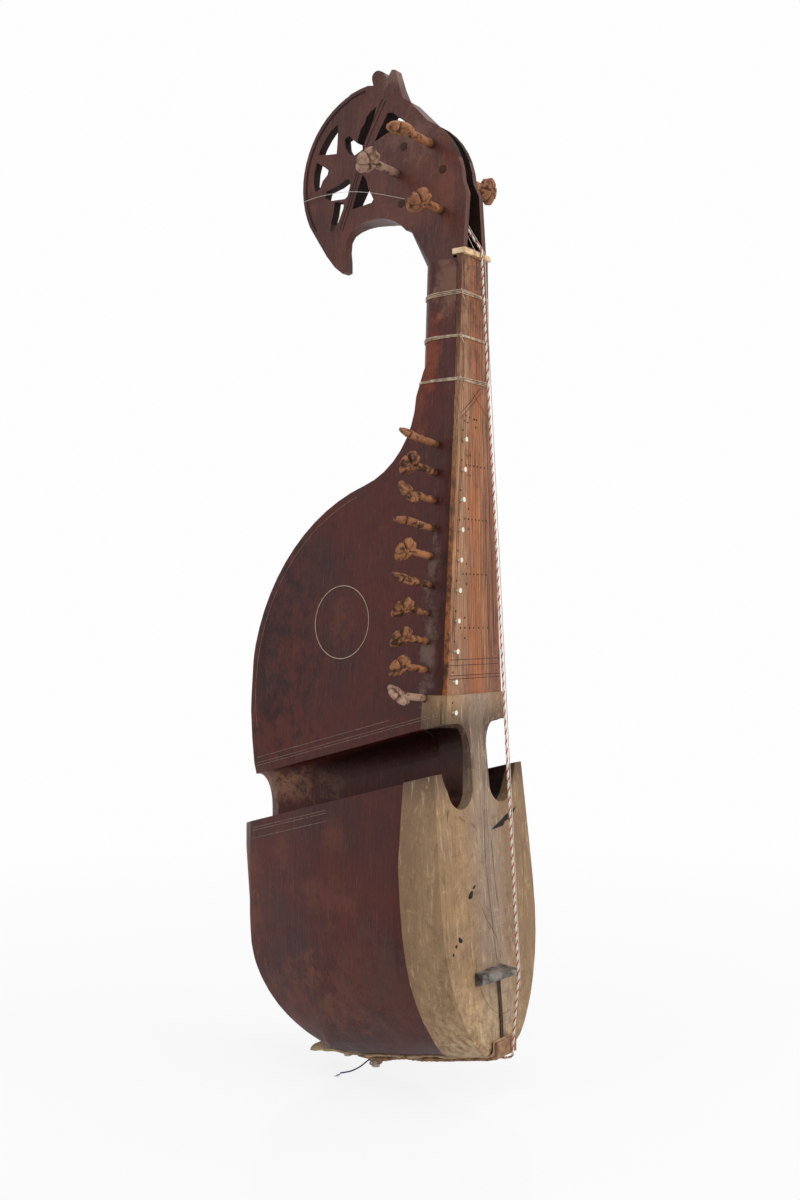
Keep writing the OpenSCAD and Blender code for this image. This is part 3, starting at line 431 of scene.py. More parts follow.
bone = plain_finish("bone", "#d9cdb4", "#efe8d6", 90.0, (0.25, 0.4), 0.1, 0.2)
horn = plain_finish("horn", "#2a2320", "#8a827a", 110.0, (0.4, 0.65), 0.4)
gut = plain_finish("gut", "#7d6350", "#cdb59a", 200.0, (0.45, 0.65), 0.3)
nut_bone = plain_finish("nut_bone", "#9c6234", "#ecd2a2", 70.0, (0.3, 0.5), 0.3, 0.1)
black_gap = plain_finish("black_gap", "#0c0807", "#1c1310", 300.0, (0.7, 0.9), 0.1)
hair_dark = plain_finish("hair_dark", "#4a3a2e", "#6a5644", 300.0, (0.6, 0.8), 0.1)
dark_gut = plain_finish("dark_gut", "#3a2c24", "#5d4a3c", 260.0, (0.4, 0.6), 0.3)
cream_thread = plain_finish("cream_thread", "#d8ccb8", "#efe9dd", 900.0, (0.7, 0.85), 0.3)
red_thread = plain_finish("red_thread", "#a8473c", "#c4675a", 900.0, (0.7, 0.85), 0.3)
blue_thread = plain_finish("blue_thread", "#332f57", "#4a4470", 900.0, (0.7, 0.85), 0.3)
tan_leather = plain_finish("tan_leather", "#a58564", "#cdb28d", 120.0, (0.6, 0.8), 0.7)
brown_leather = plain_finish("brown_leather", "#6b4a35", "#a8825f", 140.0, (0.55, 0.75), 0.7)
string_grey = plain_finish("string_grey", "#b9b0a0", "#ded8ca", 500.0, (0.35, 0.5), 0.1)
groove = plain_finish("groove", "#2a1712", "#4a2c22", 400.0, (0.6, 0.8), 0.2)
faint_line = plain_finish("faint_line", "#5d463d", "#94806f", 300.0, (0.5, 0.7), 0.2)
pale_line = plain_finish("pale_line", "#a98f74", "#c9b69b", 400.0, (0.5, 0.7), 0.2)
print("small finishes ready")

# %% [markdown]
# ## Solids that stay, with softened edges
# A solid from a construction model has razor edges, and worn wood has none. Each wooden node is copied, its
# loose triangles are merged into one skin, and a small bevel breaks its edges. The bevel's faces take a
# second, lighter material, which is just where the finish wears off.

# %% Helpers for pieces


def only(piece):
    bpy.ops.object.select_all(action="DESELECT")
    piece.select_set(True)
    bpy.context.view_layer.objects.active = piece


def apply_all(piece):
    only(piece)
    for modifier in list(piece.modifiers):
        bpy.ops.object.modifier_apply(modifier=modifier.name)


def settle(piece, name, material, body):
    only(piece)
    bpy.ops.object.transform_apply(location=True, rotation=True, scale=True)
    piece.name = name
    piece.data.name = name
    if material is not None:
        piece.data.materials.clear()
        piece.data.materials.append(material)
    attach(piece, body)
    return piece


def even_shading(piece, angle):
    only(piece)
    bpy.ops.object.shade_smooth_by_angle(angle=math.radians(angle))
    weighted = piece.modifiers.new("even_shading", "WEIGHTED_NORMAL")
    weighted.keep_sharp = True
    weighted.weight = 80
    bpy.ops.object.modifier_apply(modifier=weighted.name)


BODY_OF = {node: body for body, members in frame["record"]["behaviour"]["bodies"].items() for node in members}


def softened(node, name, material, worn, width, angle=32, segments=2, smooth=38):
    piece = frame["nodes"][node].copy()
    piece.data = piece.data.copy()
    for key in list(piece.keys()):
        del piece[key]
    piece.parent = None
    piece.matrix_world = Matrix.Identity(4)
    bpy.context.scene.collection.objects.link(piece)
    only(piece)
    bpy.ops.object.mode_set(mode="EDIT")
    bpy.ops.mesh.select_all(action="SELECT")
    bpy.ops.mesh.customdata_custom_splitnormals_clear()
    bpy.ops.mesh.remove_doubles(threshold=0.00001)
    bpy.ops.mesh.dissolve_limited(angle_limit=math.radians(0.3))
    bpy.ops.object.mode_set(mode="OBJECT")
    piece.data.materials.clear()
    piece.data.materials.append(material)
    piece.data.materials.append(worn or material)
    for polygon in piece.data.polygons:
        polygon.material_index = 0
    if width:
        bevel = piece.modifiers.new("worn_edge", "BEVEL")
        bevel.width = width * MM
        bevel.segments = segments
        bevel.limit_method = "ANGLE"
        bevel.angle_limit = math.radians(angle)
        bevel.material = 1
        bevel.miter_outer = "MITER_ARC"
        apply_all(piece)
    even_shading(piece, smooth)
    piece.name = name
    piece.data.name = name
    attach(piece, BODY_OF[node])
    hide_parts(node)
    return piece


# %% Wooden pieces
wood_body = softened("body", "carved_body", dark_wood, edge_wood, 0.9)
wood_head = softened("head", "carved_head", head_wood, edge_wood, 0.9, angle=30)
wood_board = softened("fingerboard", "fingerboard_plate", board_wood, edge_wood, 0.5)
# The inner walls of the piercings and of the pegbox slot take the near-black wood as painted shade.
wood_head.data.materials.append(pierced_shade_wood)
for polygon in wood_head.data.polygons:
    y, z = polygon.center.y / MM + BUTTON_DEPTH, polygon.center.z / MM + DRAWING_DROP
    pierced = abs(polygon.normal.x) < 0.3 and math.hypot(y - 109.5, z - 837) < 74 and z > 796 and y > 67
    inside_slot = abs(polygon.center.x) < 9 * MM and 751 < z < 882 and y < 90 and polygon.normal.y > -0.95
    if pierced or (inside_slot and (abs(polygon.normal.x) > 0.7 or z > 800)):
        polygon.material_index = 2
print("body faces", len(wood_body.data.polygons), "head faces", len(wood_head.data.polygons))

# %% [markdown]
# ## Carved pegs
# Each peg is one stick of fruitwood whose end is cut into a flower. The solid has the flower's outline. Here
# an even voxel mesh gives it enough points to carve, and a short formula cuts a groove between the petals, a
# crease down each petal and an eye in the middle. It is written in the peg's own axes, so that the same knife
# works on all sixteen, however each one is turned.

# %% Places of the pegs
DRAWING = Matrix.Translation(at(0, 0, 0)) @ Matrix.Scale(MM, 4)
MAIN_PEGS = [(39, 850, -1, 78, 3), (77, 830, -1, 8, 0), (26, 787, -1, 14, -10),
             (70, 854, 1, 60, -1), (27, 825, 1, 10, 9), (71, 801, 1, 70, 0)]
SMALL_TURNS = [80, 30, 25, 86, 20, 60, 40, 25, 35, 15]
MAIN_GRIME = [0.25, 0.15, 0.3, 0.35, 0.3, 0.3]
SMALL_GRIME = [0.3, 0.8, 0.5, 0.65, 0.2, 0.65, 0.85, 0.7, 0.6, 0.25]
MAIN_TUNED = [78, -42, -50, 60, 10, 70]
SMALL_TUNED = [62, -32, 35, 84, -35, 66, -45, -42, -38, 45]


def turn(degrees, axis):
    return Matrix.Rotation(math.radians(degrees), 4, axis)


def head_half_width(z):
    return 12.0 if z > 815 else 20.5 - 8.5 * (z - 740) / 75


def flank_x(y, z):
    return 51 - (z - 328) * 0.0858 - y * 0.102


def main_peg_place(number):
    y, z, side, angle, extra = MAIN_PEGS[number - 1]
    spot = Matrix.Translation((side * head_half_width(z), y, z))
    return DRAWING @ spot @ turn(side * 90, "Y") @ turn(angle, "Z"), 46 + extra


def small_peg_place(number):
    z = 574 - 25 * (number - 1)
    spot = Matrix.Translation((-flank_x(22, z), 22, z))
    return DRAWING @ spot @ turn(-83.5, "Y") @ turn(SMALL_TURNS[number - 1], "Z"), 42


print("first main peg stands out", main_peg_place(1)[1], "mm")

# %% Carve the pegs


def carve_peg(node, name, finish, place, reach, radius, tuned, age):
    piece = softened(node, name, finish, finish, 0.0)
    remesh = piece.modifiers.new("even_mesh", "REMESH")
    remesh.mode = "VOXEL"
    remesh.voxel_size = 0.55 * MM
    apply_all(piece)
    back = place.inverted()
    tune = turn(tuned, "Z")
    grime = piece.data.attributes.new("grime", "FLOAT", "POINT").data
    for vertex in piece.data.vertices:
        local = back @ vertex.co
        u, v = local.x, local.z - reach
        r = math.hypot(u, v)
        mottle = noise.noise(local * 0.2 + Vector((reach, tuned, 0))) + 0.25 * noise.noise(local * 0.6)
        dirt = min(0.85, max(0.0, mottle * 1.7 + (age - 0.35) * 0.9))
        if r < radius * 1.2:
            share = ((math.degrees(math.atan2(v, u)) - 90) / 72) % 1.0
            groove = abs(share - 0.5) * math.radians(72) * r
            crease = min(share, 1 - share) * math.radians(72) * r
            rise = min(1.0, max(0.0, (r - 1.2) / 2.5))
            valley = rise * math.exp(-(groove / 0.8) ** 2)
            fold = min(1.0, max(0.0, (r - 3.5) / 3)) * math.exp(-(crease / 0.7) ** 2)
            eye = math.exp(-((r - 2.6) / 0.7) ** 2)
            local.y *= 1 - 0.45 * min(1.0, r / radius) ** 4
            cut = 2.3 * valley + 0.3 * fold + 0.6 * eye
            local.y -= math.copysign(min(cut, abs(local.y) * 0.82), local.y)
            pinch = 1 - 0.07 * valley
            local.x, local.z = u * pinch, reach + v * pinch
            dirt = max(dirt, min(0.9, 0.8 * valley ** 2 + 0.15 * fold + 0.4 * eye))
        elif local.z < 9:
            dirt = max(dirt, min(0.9, 0.9 - local.z / 12))
        chip = noise.noise(local * 0.33 + Vector((0, 0, reach))) * 0.35
        local.x *= 1 + chip / 12
        local.y *= 1 + chip / 10
        vertex.co = place @ tune @ local
        grime[vertex.index].value = dirt
    only(piece)
    bpy.ops.object.shade_smooth()
    return piece


for number in range(1, 7):
    place, reach = main_peg_place(number)
    finish = pale_peg_wood if number == 2 else peg_wood
    tuned = MAIN_TUNED[number - 1] - MAIN_PEGS[number - 1][3]
    carve_peg(f"main_peg_{number}", f"main_peg_{number}_carved", finish, place, reach, 13, tuned,
              MAIN_GRIME[number - 1])
for number in range(1, 11):
    place, reach = small_peg_place(number)
    finish = pale_peg_wood if number == 10 else peg_wood
    tuned = SMALL_TUNED[number - 1] - SMALL_TURNS[number - 1]
    carve_peg(f"sympathetic_peg_{number:02d}", f"small_peg_{number:02d}_carved", finish, place, reach, 12, tuned,
              SMALL_GRIME[number - 1])

# %% Skin, nut, bridge and small solids
skin_piece = softened("skin", "belly_skin", goat_skin, goat_skin, 0.0)
nut_piece = softened("nut", "bone_nut", nut_bone, nut_bone, 0.6)
bridge_piece = softened("bridge", "horn_bridge", horn, horn, 0.6)
for node, material in (("guide_pins", bone), ("tail_button", bone), ("strap_button", bone),
                       ("tail_gut", dark_gut), ("thin_string", string_grey)):
    frame["nodes"][node].data.materials.clear()
    frame["nodes"][node].data.materials.append(material)
print("small solids dressed")

# %% [markdown]
# ## Lines that follow the wood
# Frets, engraved lines and the inlaid ring all lie on the wood, whatever its shape. So their routes are
# found by shooting a ray at the finished wood and keeping the point that it hits. A ray tree is built once
# from all the wooden pieces and the skin.

# %% Ray tree of the outside


def ray_tree(pieces):
    corners, faces = [], []
    for piece in pieces:
        start = len(corners)
        corners += [v.co.copy() for v in piece.data.vertices]
        faces += [[start + i for i in polygon.vertices] for polygon in piece.data.polygons]
    return BVHTree.FromPolygons(corners, faces)


outside = ray_tree([wood_body, wood_head, wood_board, skin_piece])
wood_only = ray_tree([wood_body, wood_head, wood_board])


def hit(tree, start, direction):
    found = tree.ray_cast(start, Vector(direction).normalized(), 2.0)
    return found[0], found[1]


def flank_point(y, z, side=-1, lift=0.0, tree=None):
    point, normal = hit(tree or outside, at(side * 200, y, z), (-side, 0, 0))
    return None if point is None else point + normal * lift * MM


print("flank at mid height", [round(v * 1000, 1) for v in flank_point(100, 400)])

# %% Points under the picture
PICTURE_LENGTH = 1391.0
view_right = look.cross(Vector((0, 0, 1))).normalized()


def seen(across, down, lift=0.0, tree=None):
    ray = look + view_right * ((across - 400) / PICTURE_LENGTH) + Vector((0, 0, (620 - down) / PICTURE_LENGTH))
    point, normal = hit(tree or outside, camera.location.copy(), ray)
    return None if point is None else point + normal * lift * MM


def seen_route(places, lift=0.2, step=2.0, tree=None):
    found = [seen(a, b, lift, tree) for a, b in places]
    return smooth_route([p for p in found if p is not None], step)


print("under the picture's middle", seen(400, 700))

# %% Threads


def thread(name, points, radius, material, body="rubab", closed=False, sides=3, tilt_taper=None):
    curve = bpy.data.curves.new(name, "CURVE")
    curve.dimensions = "3D"
    curve.bevel_depth = radius * MM
    curve.bevel_resolution = sides
    curve.use_fill_caps = True
    spline = curve.splines.new("POLY")
    spline.points.add(len(points) - 1)
    for i, (spot, point) in enumerate(zip(spline.points, points)):
        spot.co = (*point, 1.0)
        if tilt_taper:
            spot.radius = tilt_taper(i / (len(points) - 1))
    spline.use_cyclic_u = closed
    piece = bpy.data.objects.new(name, curve)
    bpy.context.scene.collection.objects.link(piece)
    only(piece)
    bpy.ops.object.convert(target="MESH")
    piece = bpy.context.object
    only(piece)
    bpy.ops.object.shade_smooth()
    return settle(piece, name, material, body)


def smooth_route(points, step):
    route = [Vector(p) for p in points]
    made = []
    for i in range(len(route) - 1):
        p0, p1, p2, p3 = route[max(i - 1, 0)], route[i], route[i + 1], route[min(i + 2, len(route) - 1)]
        count = max(2, int((p2 - p1).length / (step * MM)))
        m1, m2 = (p2 - p0) * 0.5, (p3 - p1) * 0.5
        short = (p2 - p1).length
        for m in (m1, m2):
            if m.length > short:
                m *= short / m.length
        for k in range(count):
            u = k / count
            made.append(p1 * (2 * u ** 3 - 3 * u ** 2 + 1) + m1 * (u ** 3 - 2 * u ** 2 + u)
                        + p2 * (3 * u ** 2 - 2 * u ** 3) + m2 * (u ** 3 - u ** 2))
    return made + [route[-1]]


def route_length(route):
    return sum((b - a).length for a, b in zip(route, route[1:]))


def join(pieces, name):
    only(pieces[0])
    for piece in pieces[1:]:
        piece.select_set(True)
    bpy.ops.object.join()
    joined = bpy.context.object
    joined.name = name
    joined.data.name = name
    return joined


print("thread helpers ready")

# %% [markdown]
# ## Engraving and inlay
# The maker scored a line just inside the chamber's edge, two or three above the waist and two below it, and
# set a thin pale ring in the middle of each flank.

# %% Scored lines and ring
lines = []
for side in (-1, 1):
    ring = [flank_point(127 + 34 * math.cos(a), 416 + 34 * math.sin(a), side)
            for a in (math.radians(k * 4) for k in range(90))]
    lines.append(thread("ring", ring, 0.38, pale_line, closed=True, sides=1))
    edge_line = [flank_point(52 + 186 * math.cos(a), 358 + 186 * math.sin(a), side)
                 for a in (math.radians(k) for k in range(-14, 71))]
    edge_line = [p for p in edge_line if p is not None]
    lines.append(thread("edge_line", edge_line, 0.26, faint_line, sides=1))
    for start, end, offsets, height in ((2, 234, (8, 10.5, 16), 328), (60, 232, (-7, -9.5, -17), 283)):
        for offset in offsets:
            row = [flank_point(y, height + offset - y * math.tan(math.radians(14.6)), side)
                   for y in range(start if offset in (8, 10.5) else start + 60, end, 6)]
            row = [p for p in row if p is not None]
            lines.append(thread("waist_line", row, 0.26, faint_line, sides=1))
scored_lines = join(lines, "scored_lines")
print("scored lines", len(scored_lines.data.polygons), "faces")


# %% Scored lines on the fingerboard
def board_line(points, radius, material):
    return thread("board_line", [at(x, 0.0, z) for x, z in points], radius, material, sides=1)


board_lines = [
    board_line([(-24, 601), (-6, 614), (8.7, 627)], 0.3, groove), board_line([(-25, 596), (-5, 610), (10, 623)], 0.25, groove),
    board_line([(24, 601), (6, 614), (-4, 622)], 0.25, groove),
]
for z in (383, 378, 369, 366):
    half = 44 - (z - 352) * 0.09
    board_lines.append(board_line([(-half, z), (half, z)], 0.3, groove))
for share in (0.12, 0.2, 0.36, 0.68):
    board_lines.append(thread("board_line", [at(45 * share, 0, 386), at(24.5 * share, 0, 600)], 0.16, pale_line,
                              sides=1))
for share in (-0.86, -0.78, 0.55, 0.78):
    board_lines.append(board_line([(45 * share, 386), (24.5 * share, 600)], 0.22, groove))
    board_lines.append(board_line([(24.5 * share, 622), (22 * share, 738)], 0.18, groove))
scored_board = join(board_lines, "scored_board")

# %% Burnt dots on the fingerboard


def dots(name, places, radius, material, body="rubab", tall=1.0):
    made = []
    for point, normal in places:
        bpy.ops.mesh.primitive_cylinder_add(vertices=10, radius=radius * MM, depth=0.3 * MM, location=(0, 0, 0))
        disc = bpy.context.object
        disc.scale = (1.0, tall, 1.0)
        disc.rotation_euler = normal.to_track_quat("Z", "Y").to_euler()
        disc.location = point
        only(disc)
        bpy.ops.object.transform_apply(location=True, rotation=True, scale=True)
        made.append(disc)
    piece = join(made, name)
    return settle(piece, name, material, body)


dot_places = []
for z, row in ((556, (-14, -8, -2, 4, 10, 16)), (508, (-17, -11, -5, 1, 7, 13, 19)),
               (459, (-20, -14, -8, -2, 5, 12, 19)), (411, (-24, -17, -9, -2, 6, 14, 22))):
    for x in row:
        dot_places.append((at(x, 0.0, z), Vector((0, -1, 0))))
    for dx, dz in ((0, 9), (0, -9)):
        dot_places.append((at(row[1] + dx, 0.0, z + dz), Vector((0, -1, 0))))
for x, z in ((-15, 600), (-17, 595), (-12, 594), (-9, 599), (-1, 598), (3, 598), (1, 591)):
    dot_places.append((at(x, 0.0, z), Vector((0, -1, 0))))
dots("board_dots", dot_places, 0.95, black_gap)
print("dots", len(dot_places))

# %% Carved lines on the head
CRESCENT_R = 85.0


def on_head(y, z, side):
    found, normal = hit(wood_only, at(-side * -200, y, z), (-side, 0, 0))
    if found is None or found.x * side < 0.003:
        return None
    return found + normal * 0.05 * MM


def broken_line(places, side, radius, material):
    made, run = [], []
    for place in list(places) + [None]:
        point = on_head(*place, side) if place else None
        if point is not None and (not run or abs(point.x - run[-1].x) < 0.0012):
            run.append(point)
            continue
        if len(run) > 2:
            made.append(thread("rim_line", run, radius, material, sides=1))
        run = [point] if point is not None else []
    return made


head_lines = []
for side in (-1, 1):
    for inset, tilt in ((4.2, 0.45), (5.4, 0.3)):
        r = CRESCENT_R - inset
        arc = [(109.5 + r * math.cos(math.radians(a)), 837 + r * math.sin(math.radians(a))) for a in range(84, -34, -2)]
        head_lines += broken_line(arc, side, tilt, black_gap)
    for (y0, z0), (y1, z1) in (((97.5, 905), (149, 792)), ((93.5, 903), (146.5, 789))):
        bar = [(y0 + (y1 - y0) * k / 60, z0 + (z1 - z0) * k / 60) for k in range(61)]
        head_lines += broken_line(bar, side, 0.35, black_gap)
join(head_lines, "head_lines")
print("head lines", len(head_lines))
print("board lines", len(scored_board.data.polygons))

# %% [markdown]
# ## Gut frets
# A fret is a strand of gut that goes round the neck three times and is knotted on the near edge. Rays from
# all round the neck give the loop's route, and each turn is set a little off the last. The neck grows
# thicker downwards, so each loop is also wide enough for the place 2 mm lower, to which it may slide.

# %% Tied frets
for number, drop in enumerate((37, 76, 114), 1):
    turns = []
    z = 746 - drop
    for strand in range(3):
        loop = []
        for k in range(72):
            a = math.radians(k * 5)
            sway = 1.1 * (strand - 1) + 0.5 * math.sin(a + number * 2 + strand)
            found = []
            for below in (0, -2.2):
                start = at(200 * math.cos(a), 22 + 200 * math.sin(a), z + sway + below)
                found.append(hit(wood_only, start, (-math.cos(a), -math.sin(a), 0)))
            point, normal = min(found, key=lambda f: (f[0] - start).length)
            point.z = at(0, 0, z + sway).z
            loop.append(point + normal * 0.56 * MM)
        turns.append(thread("turn", loop, 0.5, gut, f"fret_{number}", closed=True, sides=2))
    knot_at = at(-23.5 - drop * 0.02, -1.0, z)
    knot = [knot_at + Vector((math.cos(a) * 1.3, math.sin(2 * a) * 0.6 - 0.2, math.sin(a) * 1.8)) * MM
            for a in (math.radians(k * 20) for k in range(18))]
    turns.append(thread("knot", knot, 0.6, gut, f"fret_{number}", closed=True, sides=2))
    tail = smooth_route([knot_at, knot_at + Vector((1, -1.0, -3)) * MM, knot_at + Vector((3, -1.4, -7)) * MM], 1)
    turns.append(thread("tail", tail, 0.3, gut, f"fret_{number}", sides=2))
    fret_piece = join(turns, f"fret_{number}_tied")
    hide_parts(f"fret_{number}")
print("frets tied")

# %% [markdown]
# ## Strings
# The melody string is a cord of three threads, two cream and one red, laid round each other. Each thread is
# a helix about the string's route. The thin string beside it is plain gut, and two more run from the nut into
# the pegbox.

# %% Twisted string
MELODY = [(4, 18, 792), (4, 8, 768), (4, -4.7, 749.5), (4, -4.7, 742.5), (4.6, -42.0, 107.5), (4.8, -42.3, 102.5),
          (6.5, -36.5, 52), (6.5, -35.7, 42), (6.5, -34.3, 30.6), (6.5, -22, 27.3), (6.5, 32, 19.6), (5.8, 76, 12.6),
          (5.2, 99, 8.0)]


def cad_route(node, fallback):
    return [at(*p) for p in fallback]


def laid_cord(name, route, radius, pitch, finishes, body):
    count = len(finishes)
    ply = radius / (1 + 1 / math.sin(math.pi / count)) if count > 1 else radius
    centre = radius - ply
    travelled, strands = 0.0, [[] for _ in finishes]
    for i, point in enumerate(route):
        ahead = (route[min(i + 1, len(route) - 1)] - route[max(i - 1, 0)]).normalized()
        side = ahead.cross(Vector((1, 0, 0))).normalized()
        up = ahead.cross(side).normalized()
        if i:
            travelled += (point - route[i - 1]).length
        for k in range(count):
            a = 2 * math.pi * (travelled / (pitch * MM) + k / count)
            strands[k].append(point + (side * math.cos(a) + up * math.sin(a)) * centre * MM)
    made = [thread(f"{name}_{k}", strand, ply * 1.12, finish, body, sides=1)
            for k, (strand, finish) in enumerate(zip(strands, finishes))]
    return join(made, name)


melody_route = smooth_route([at(*p) for p in MELODY], 1.0)
melody_cord = laid_cord("melody_cord", melody_route, 1.15, 8.5, (cream_thread, cream_thread, red_thread), "rubab")
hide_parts("melody_string")
print("melody string", round(sum((b - a).length for a, b in zip(melody_route, melody_route[1:])), 3), "m")

# %% Strings in the pegbox
for name, points in {
    "second_string": [(8, -3.9, 744), (7, 6, 765), (3, 20, 790), (1, 30, 822)],
    "third_string": [(13, -3.9, 744), (9.5, 8, 765), (4, 35, 800), (0, 66, 800)],
    "fourth_string": [(-2, -3.9, 744), (-3, 8, 768), (-3, 22, 800), (-1, 39, 846)],
}.items():
    thread(name, smooth_route([at(*p) for p in points], 4), 0.35, string_grey, sides=1)
windings = []
for x, y, z, radius in ((1, 28, 825, 4.3), (4, 26, 787, 4.4), (0, 71, 801, 4.3), (-1, 39, 850, 4.3)):
    coil = [at(x + (k / 20 - 1.5) * 0.9, y + radius * math.cos(k * math.pi / 10), z + radius * math.sin(k * math.pi / 10))
            for k in range(60)]
    windings.append(thread("winding", coil, 0.4, string_grey, sides=1))
join(windings, "peg_windings")


def on_plane(across, down, x):
    ray = look + view_right * ((across - 400) / PICTURE_LENGTH) + Vector((0, 0, (620 - down) / PICTURE_LENGTH))
    return camera.location + ray * ((x * MM - camera.location.x) / ray.x)


loose = [on_plane(*spot) for spot in (
    (304, 202, -8.5), (318, 197, -8.5), (345, 192, -10), (372, 193, -13), (400, 198, -13), (430, 204, -13), (465, 199, -13))]
stray_route = smooth_route(loose, 4)
stray = thread("loose_thread", stray_route, 0.22, string_grey, sides=1)
route_length(stray_route)
print("pegbox strung")

# %% [markdown]
# ## The waist
# Where the web meets the chamber above it, the carver left no corner: the wood swells out in a hollow
# curve. The swell is lofted here: a quarter of an ellipse is drawn at many places along the web's
# plan, from the web's face to the edge of the ledge, and the curves are bridged into one skin.

# %% Swells at the waist
SLOPE = math.tan(math.radians(14.6))


def web_half(y):
    if y < 45:
        return 13.0
    return 13 + 5 * (y - 45) / 85 if y < 130 else min(26.0, 18 + 8 * (y - 130) / 78)


def waist_plan(reach):
    plan = [((web_half(y), y), (flank_x(y, 320 - y * SLOPE) - 0.6, y)) for y in range(30, 209, 8)]
    plan += [((26, 208), (flank_x(216, 272) - 0.6, 216)), ((22, 215), (flank_x(225, 270) - 1, 225))]
    plan += [((18, 222), (flank_x(230, 268) - 2, reach - 1))]
    plan += [((x, 222), (x * 1.6, reach)) for x in (12, 6, 0, -6, -12)]
    other = [((-a, b), (-c, d)) for (a, b), (c, d) in reversed(plan[:-5])]
    return plan + other


def swell(name, level, side_tall, back_tall, reach, way):
    rows, corners, faces = [], [], []
    for (ax, ay), (bx, by) in waist_plan(reach):
        tall = side_tall + (back_tall - side_tall) * max(0.0, min(1.0, (ay - 150) / 72))
        row = []
        for k in range(9):
            a = math.radians(k * 11.25)
            share = 1 - math.cos(a)
            x, y = ax + (bx - ax) * share, ay + (by - ay) * share
            z = level - y * SLOPE - way * tall * (1 - math.sin(a))
            row.append(at(x, y, z))
        root = at(ax * 0.8, ay - (2 if ay > 221 else 0), level - ay * SLOPE + way * 1.0)
        tip = at(bx * 0.98, by - (1 if by > 223 else 0), level - by * SLOPE + way * 1.0)
        rows.append(row + [tip, root])
    width = len(rows[0])
    for row in rows:
        corners += row
    for i in range(len(rows) - 1):
        for k in range(width):
            a, b = i * width + k, i * width + (k + 1) % width
            faces.append([a, b, b + width, a + width])
    faces.append(list(range(width)))
    faces.append(list(range((len(rows) - 1) * width, len(rows) * width))[::-1])
    mesh = bpy.data.meshes.new(name)
    mesh.from_pydata(corners, [], faces)
    piece = bpy.data.objects.new(name, mesh)
    bpy.context.scene.collection.objects.link(piece)
    only(piece)
    bpy.ops.object.mode_set(mode="EDIT")
    bpy.ops.mesh.select_all(action="SELECT")
    bpy.ops.mesh.normals_make_consistent(inside=False)
    bpy.ops.object.mode_set(mode="OBJECT")
    bpy.ops.object.shade_smooth_by_angle(angle=math.radians(50))
    return settle(piece, name, dark_wood, "rubab")


swell("upper_swell", 328, 26, 34, 230.5, 1)
print("waist swells made")

# %% [markdown]
# ## What time did to the skin
# Three small holes in a row and two more above them, a tear from the right scoop, a few stray hairs and the
# folds of the wet hide. Holes and tear are dark shapes that lie on the skin, painted shade in place of the
# dark chamber seen through them; folds are low ridges of skin.

# %% Marks on the skin


def skin_place(across, down):
    ray = look + view_right * ((across - 400) / PICTURE_LENGTH) + Vector((0, 0, (620 - down) / PICTURE_LENGTH))
    return hit(outside, camera.location.copy(), ray)


def patch_of(name, outline, material, lift=0.15):
    points = [skin_place(a, b) for a, b in outline]
    corners = [p + n * lift * MM for p, n in points]
    middle = sum(corners, Vector()) / len(corners)
    normal = sum((n for p, n in points), Vector()).normalized()
    middle += normal * 0.1 * MM
    faces = [[i, (i + 1) % len(corners), len(corners)] for i in range(len(corners))]
    mesh = bpy.data.meshes.new(name)
    mesh.from_pydata(corners + [middle], [], faces)
    piece = bpy.data.objects.new(name, mesh)
    bpy.context.scene.collection.objects.link(piece)
    only(piece)
    bpy.ops.object.mode_set(mode="EDIT")
    bpy.ops.mesh.select_all(action="SELECT")
    bpy.ops.mesh.normals_make_consistent(inside=False)
    bpy.ops.object.mode_set(mode="OBJECT")
    if sum((p.normal.dot(normal) for p in mesh.polygons)) < 0:
        bpy.ops.object.mode_set(mode="EDIT")
        bpy.ops.mesh.flip_normals()
        bpy.ops.object.mode_set(mode="OBJECT")
    solid = piece.modifiers.new("thickness", "SOLIDIFY")
    solid.thickness = 0.12 * MM
    apply_all(piece)
    return settle(piece, name, material, "rubab")


def oval(across, down, wide, tall, lean):
    ring = []
    for k in range(12):
        a = math.radians(k * 30)
        u, v = wide * math.cos(a) * (1 + 0.15 * math.sin(3 * a)), tall * math.sin(a)
        ring.append((across + u * math.cos(lean) - v * math.sin(lean), down + u * math.sin(lean) + v * math.cos(lean)))
    return ring


# Each hole and the tear is a near-black patch: painted shade in place of an opening.
marks = [patch_of("hole", oval(*spot), black_gap) for spot in (
    (470.8, 895.2, 1.9, 4.6, 0.3), (474.2, 887, 0.9, 2.4, 0.5), (460.4, 940.4, 1.9, 3.0, -0.4),
    (456.4, 946.8, 1.0, 1.9, 0.2), (453.6, 955.2, 0.9, 1.6, 0.2))]
marks.append(patch_of("tear", [(516, 806), (510, 811), (505, 815), (501, 820), (491, 829.5), (498, 827.5), (503, 825.5), (505, 821),
                               (509, 819), (513, 812.5)], black_gap))
marks += [patch_of("hole", oval(490, 970.5, 3.6, 1.3, -0.1), black_gap), patch_of("hole", oval(504, 969, 3.0, 1.1, -0.1), black_gap)]
join(marks, "skin_holes")
print("holes and tear made")

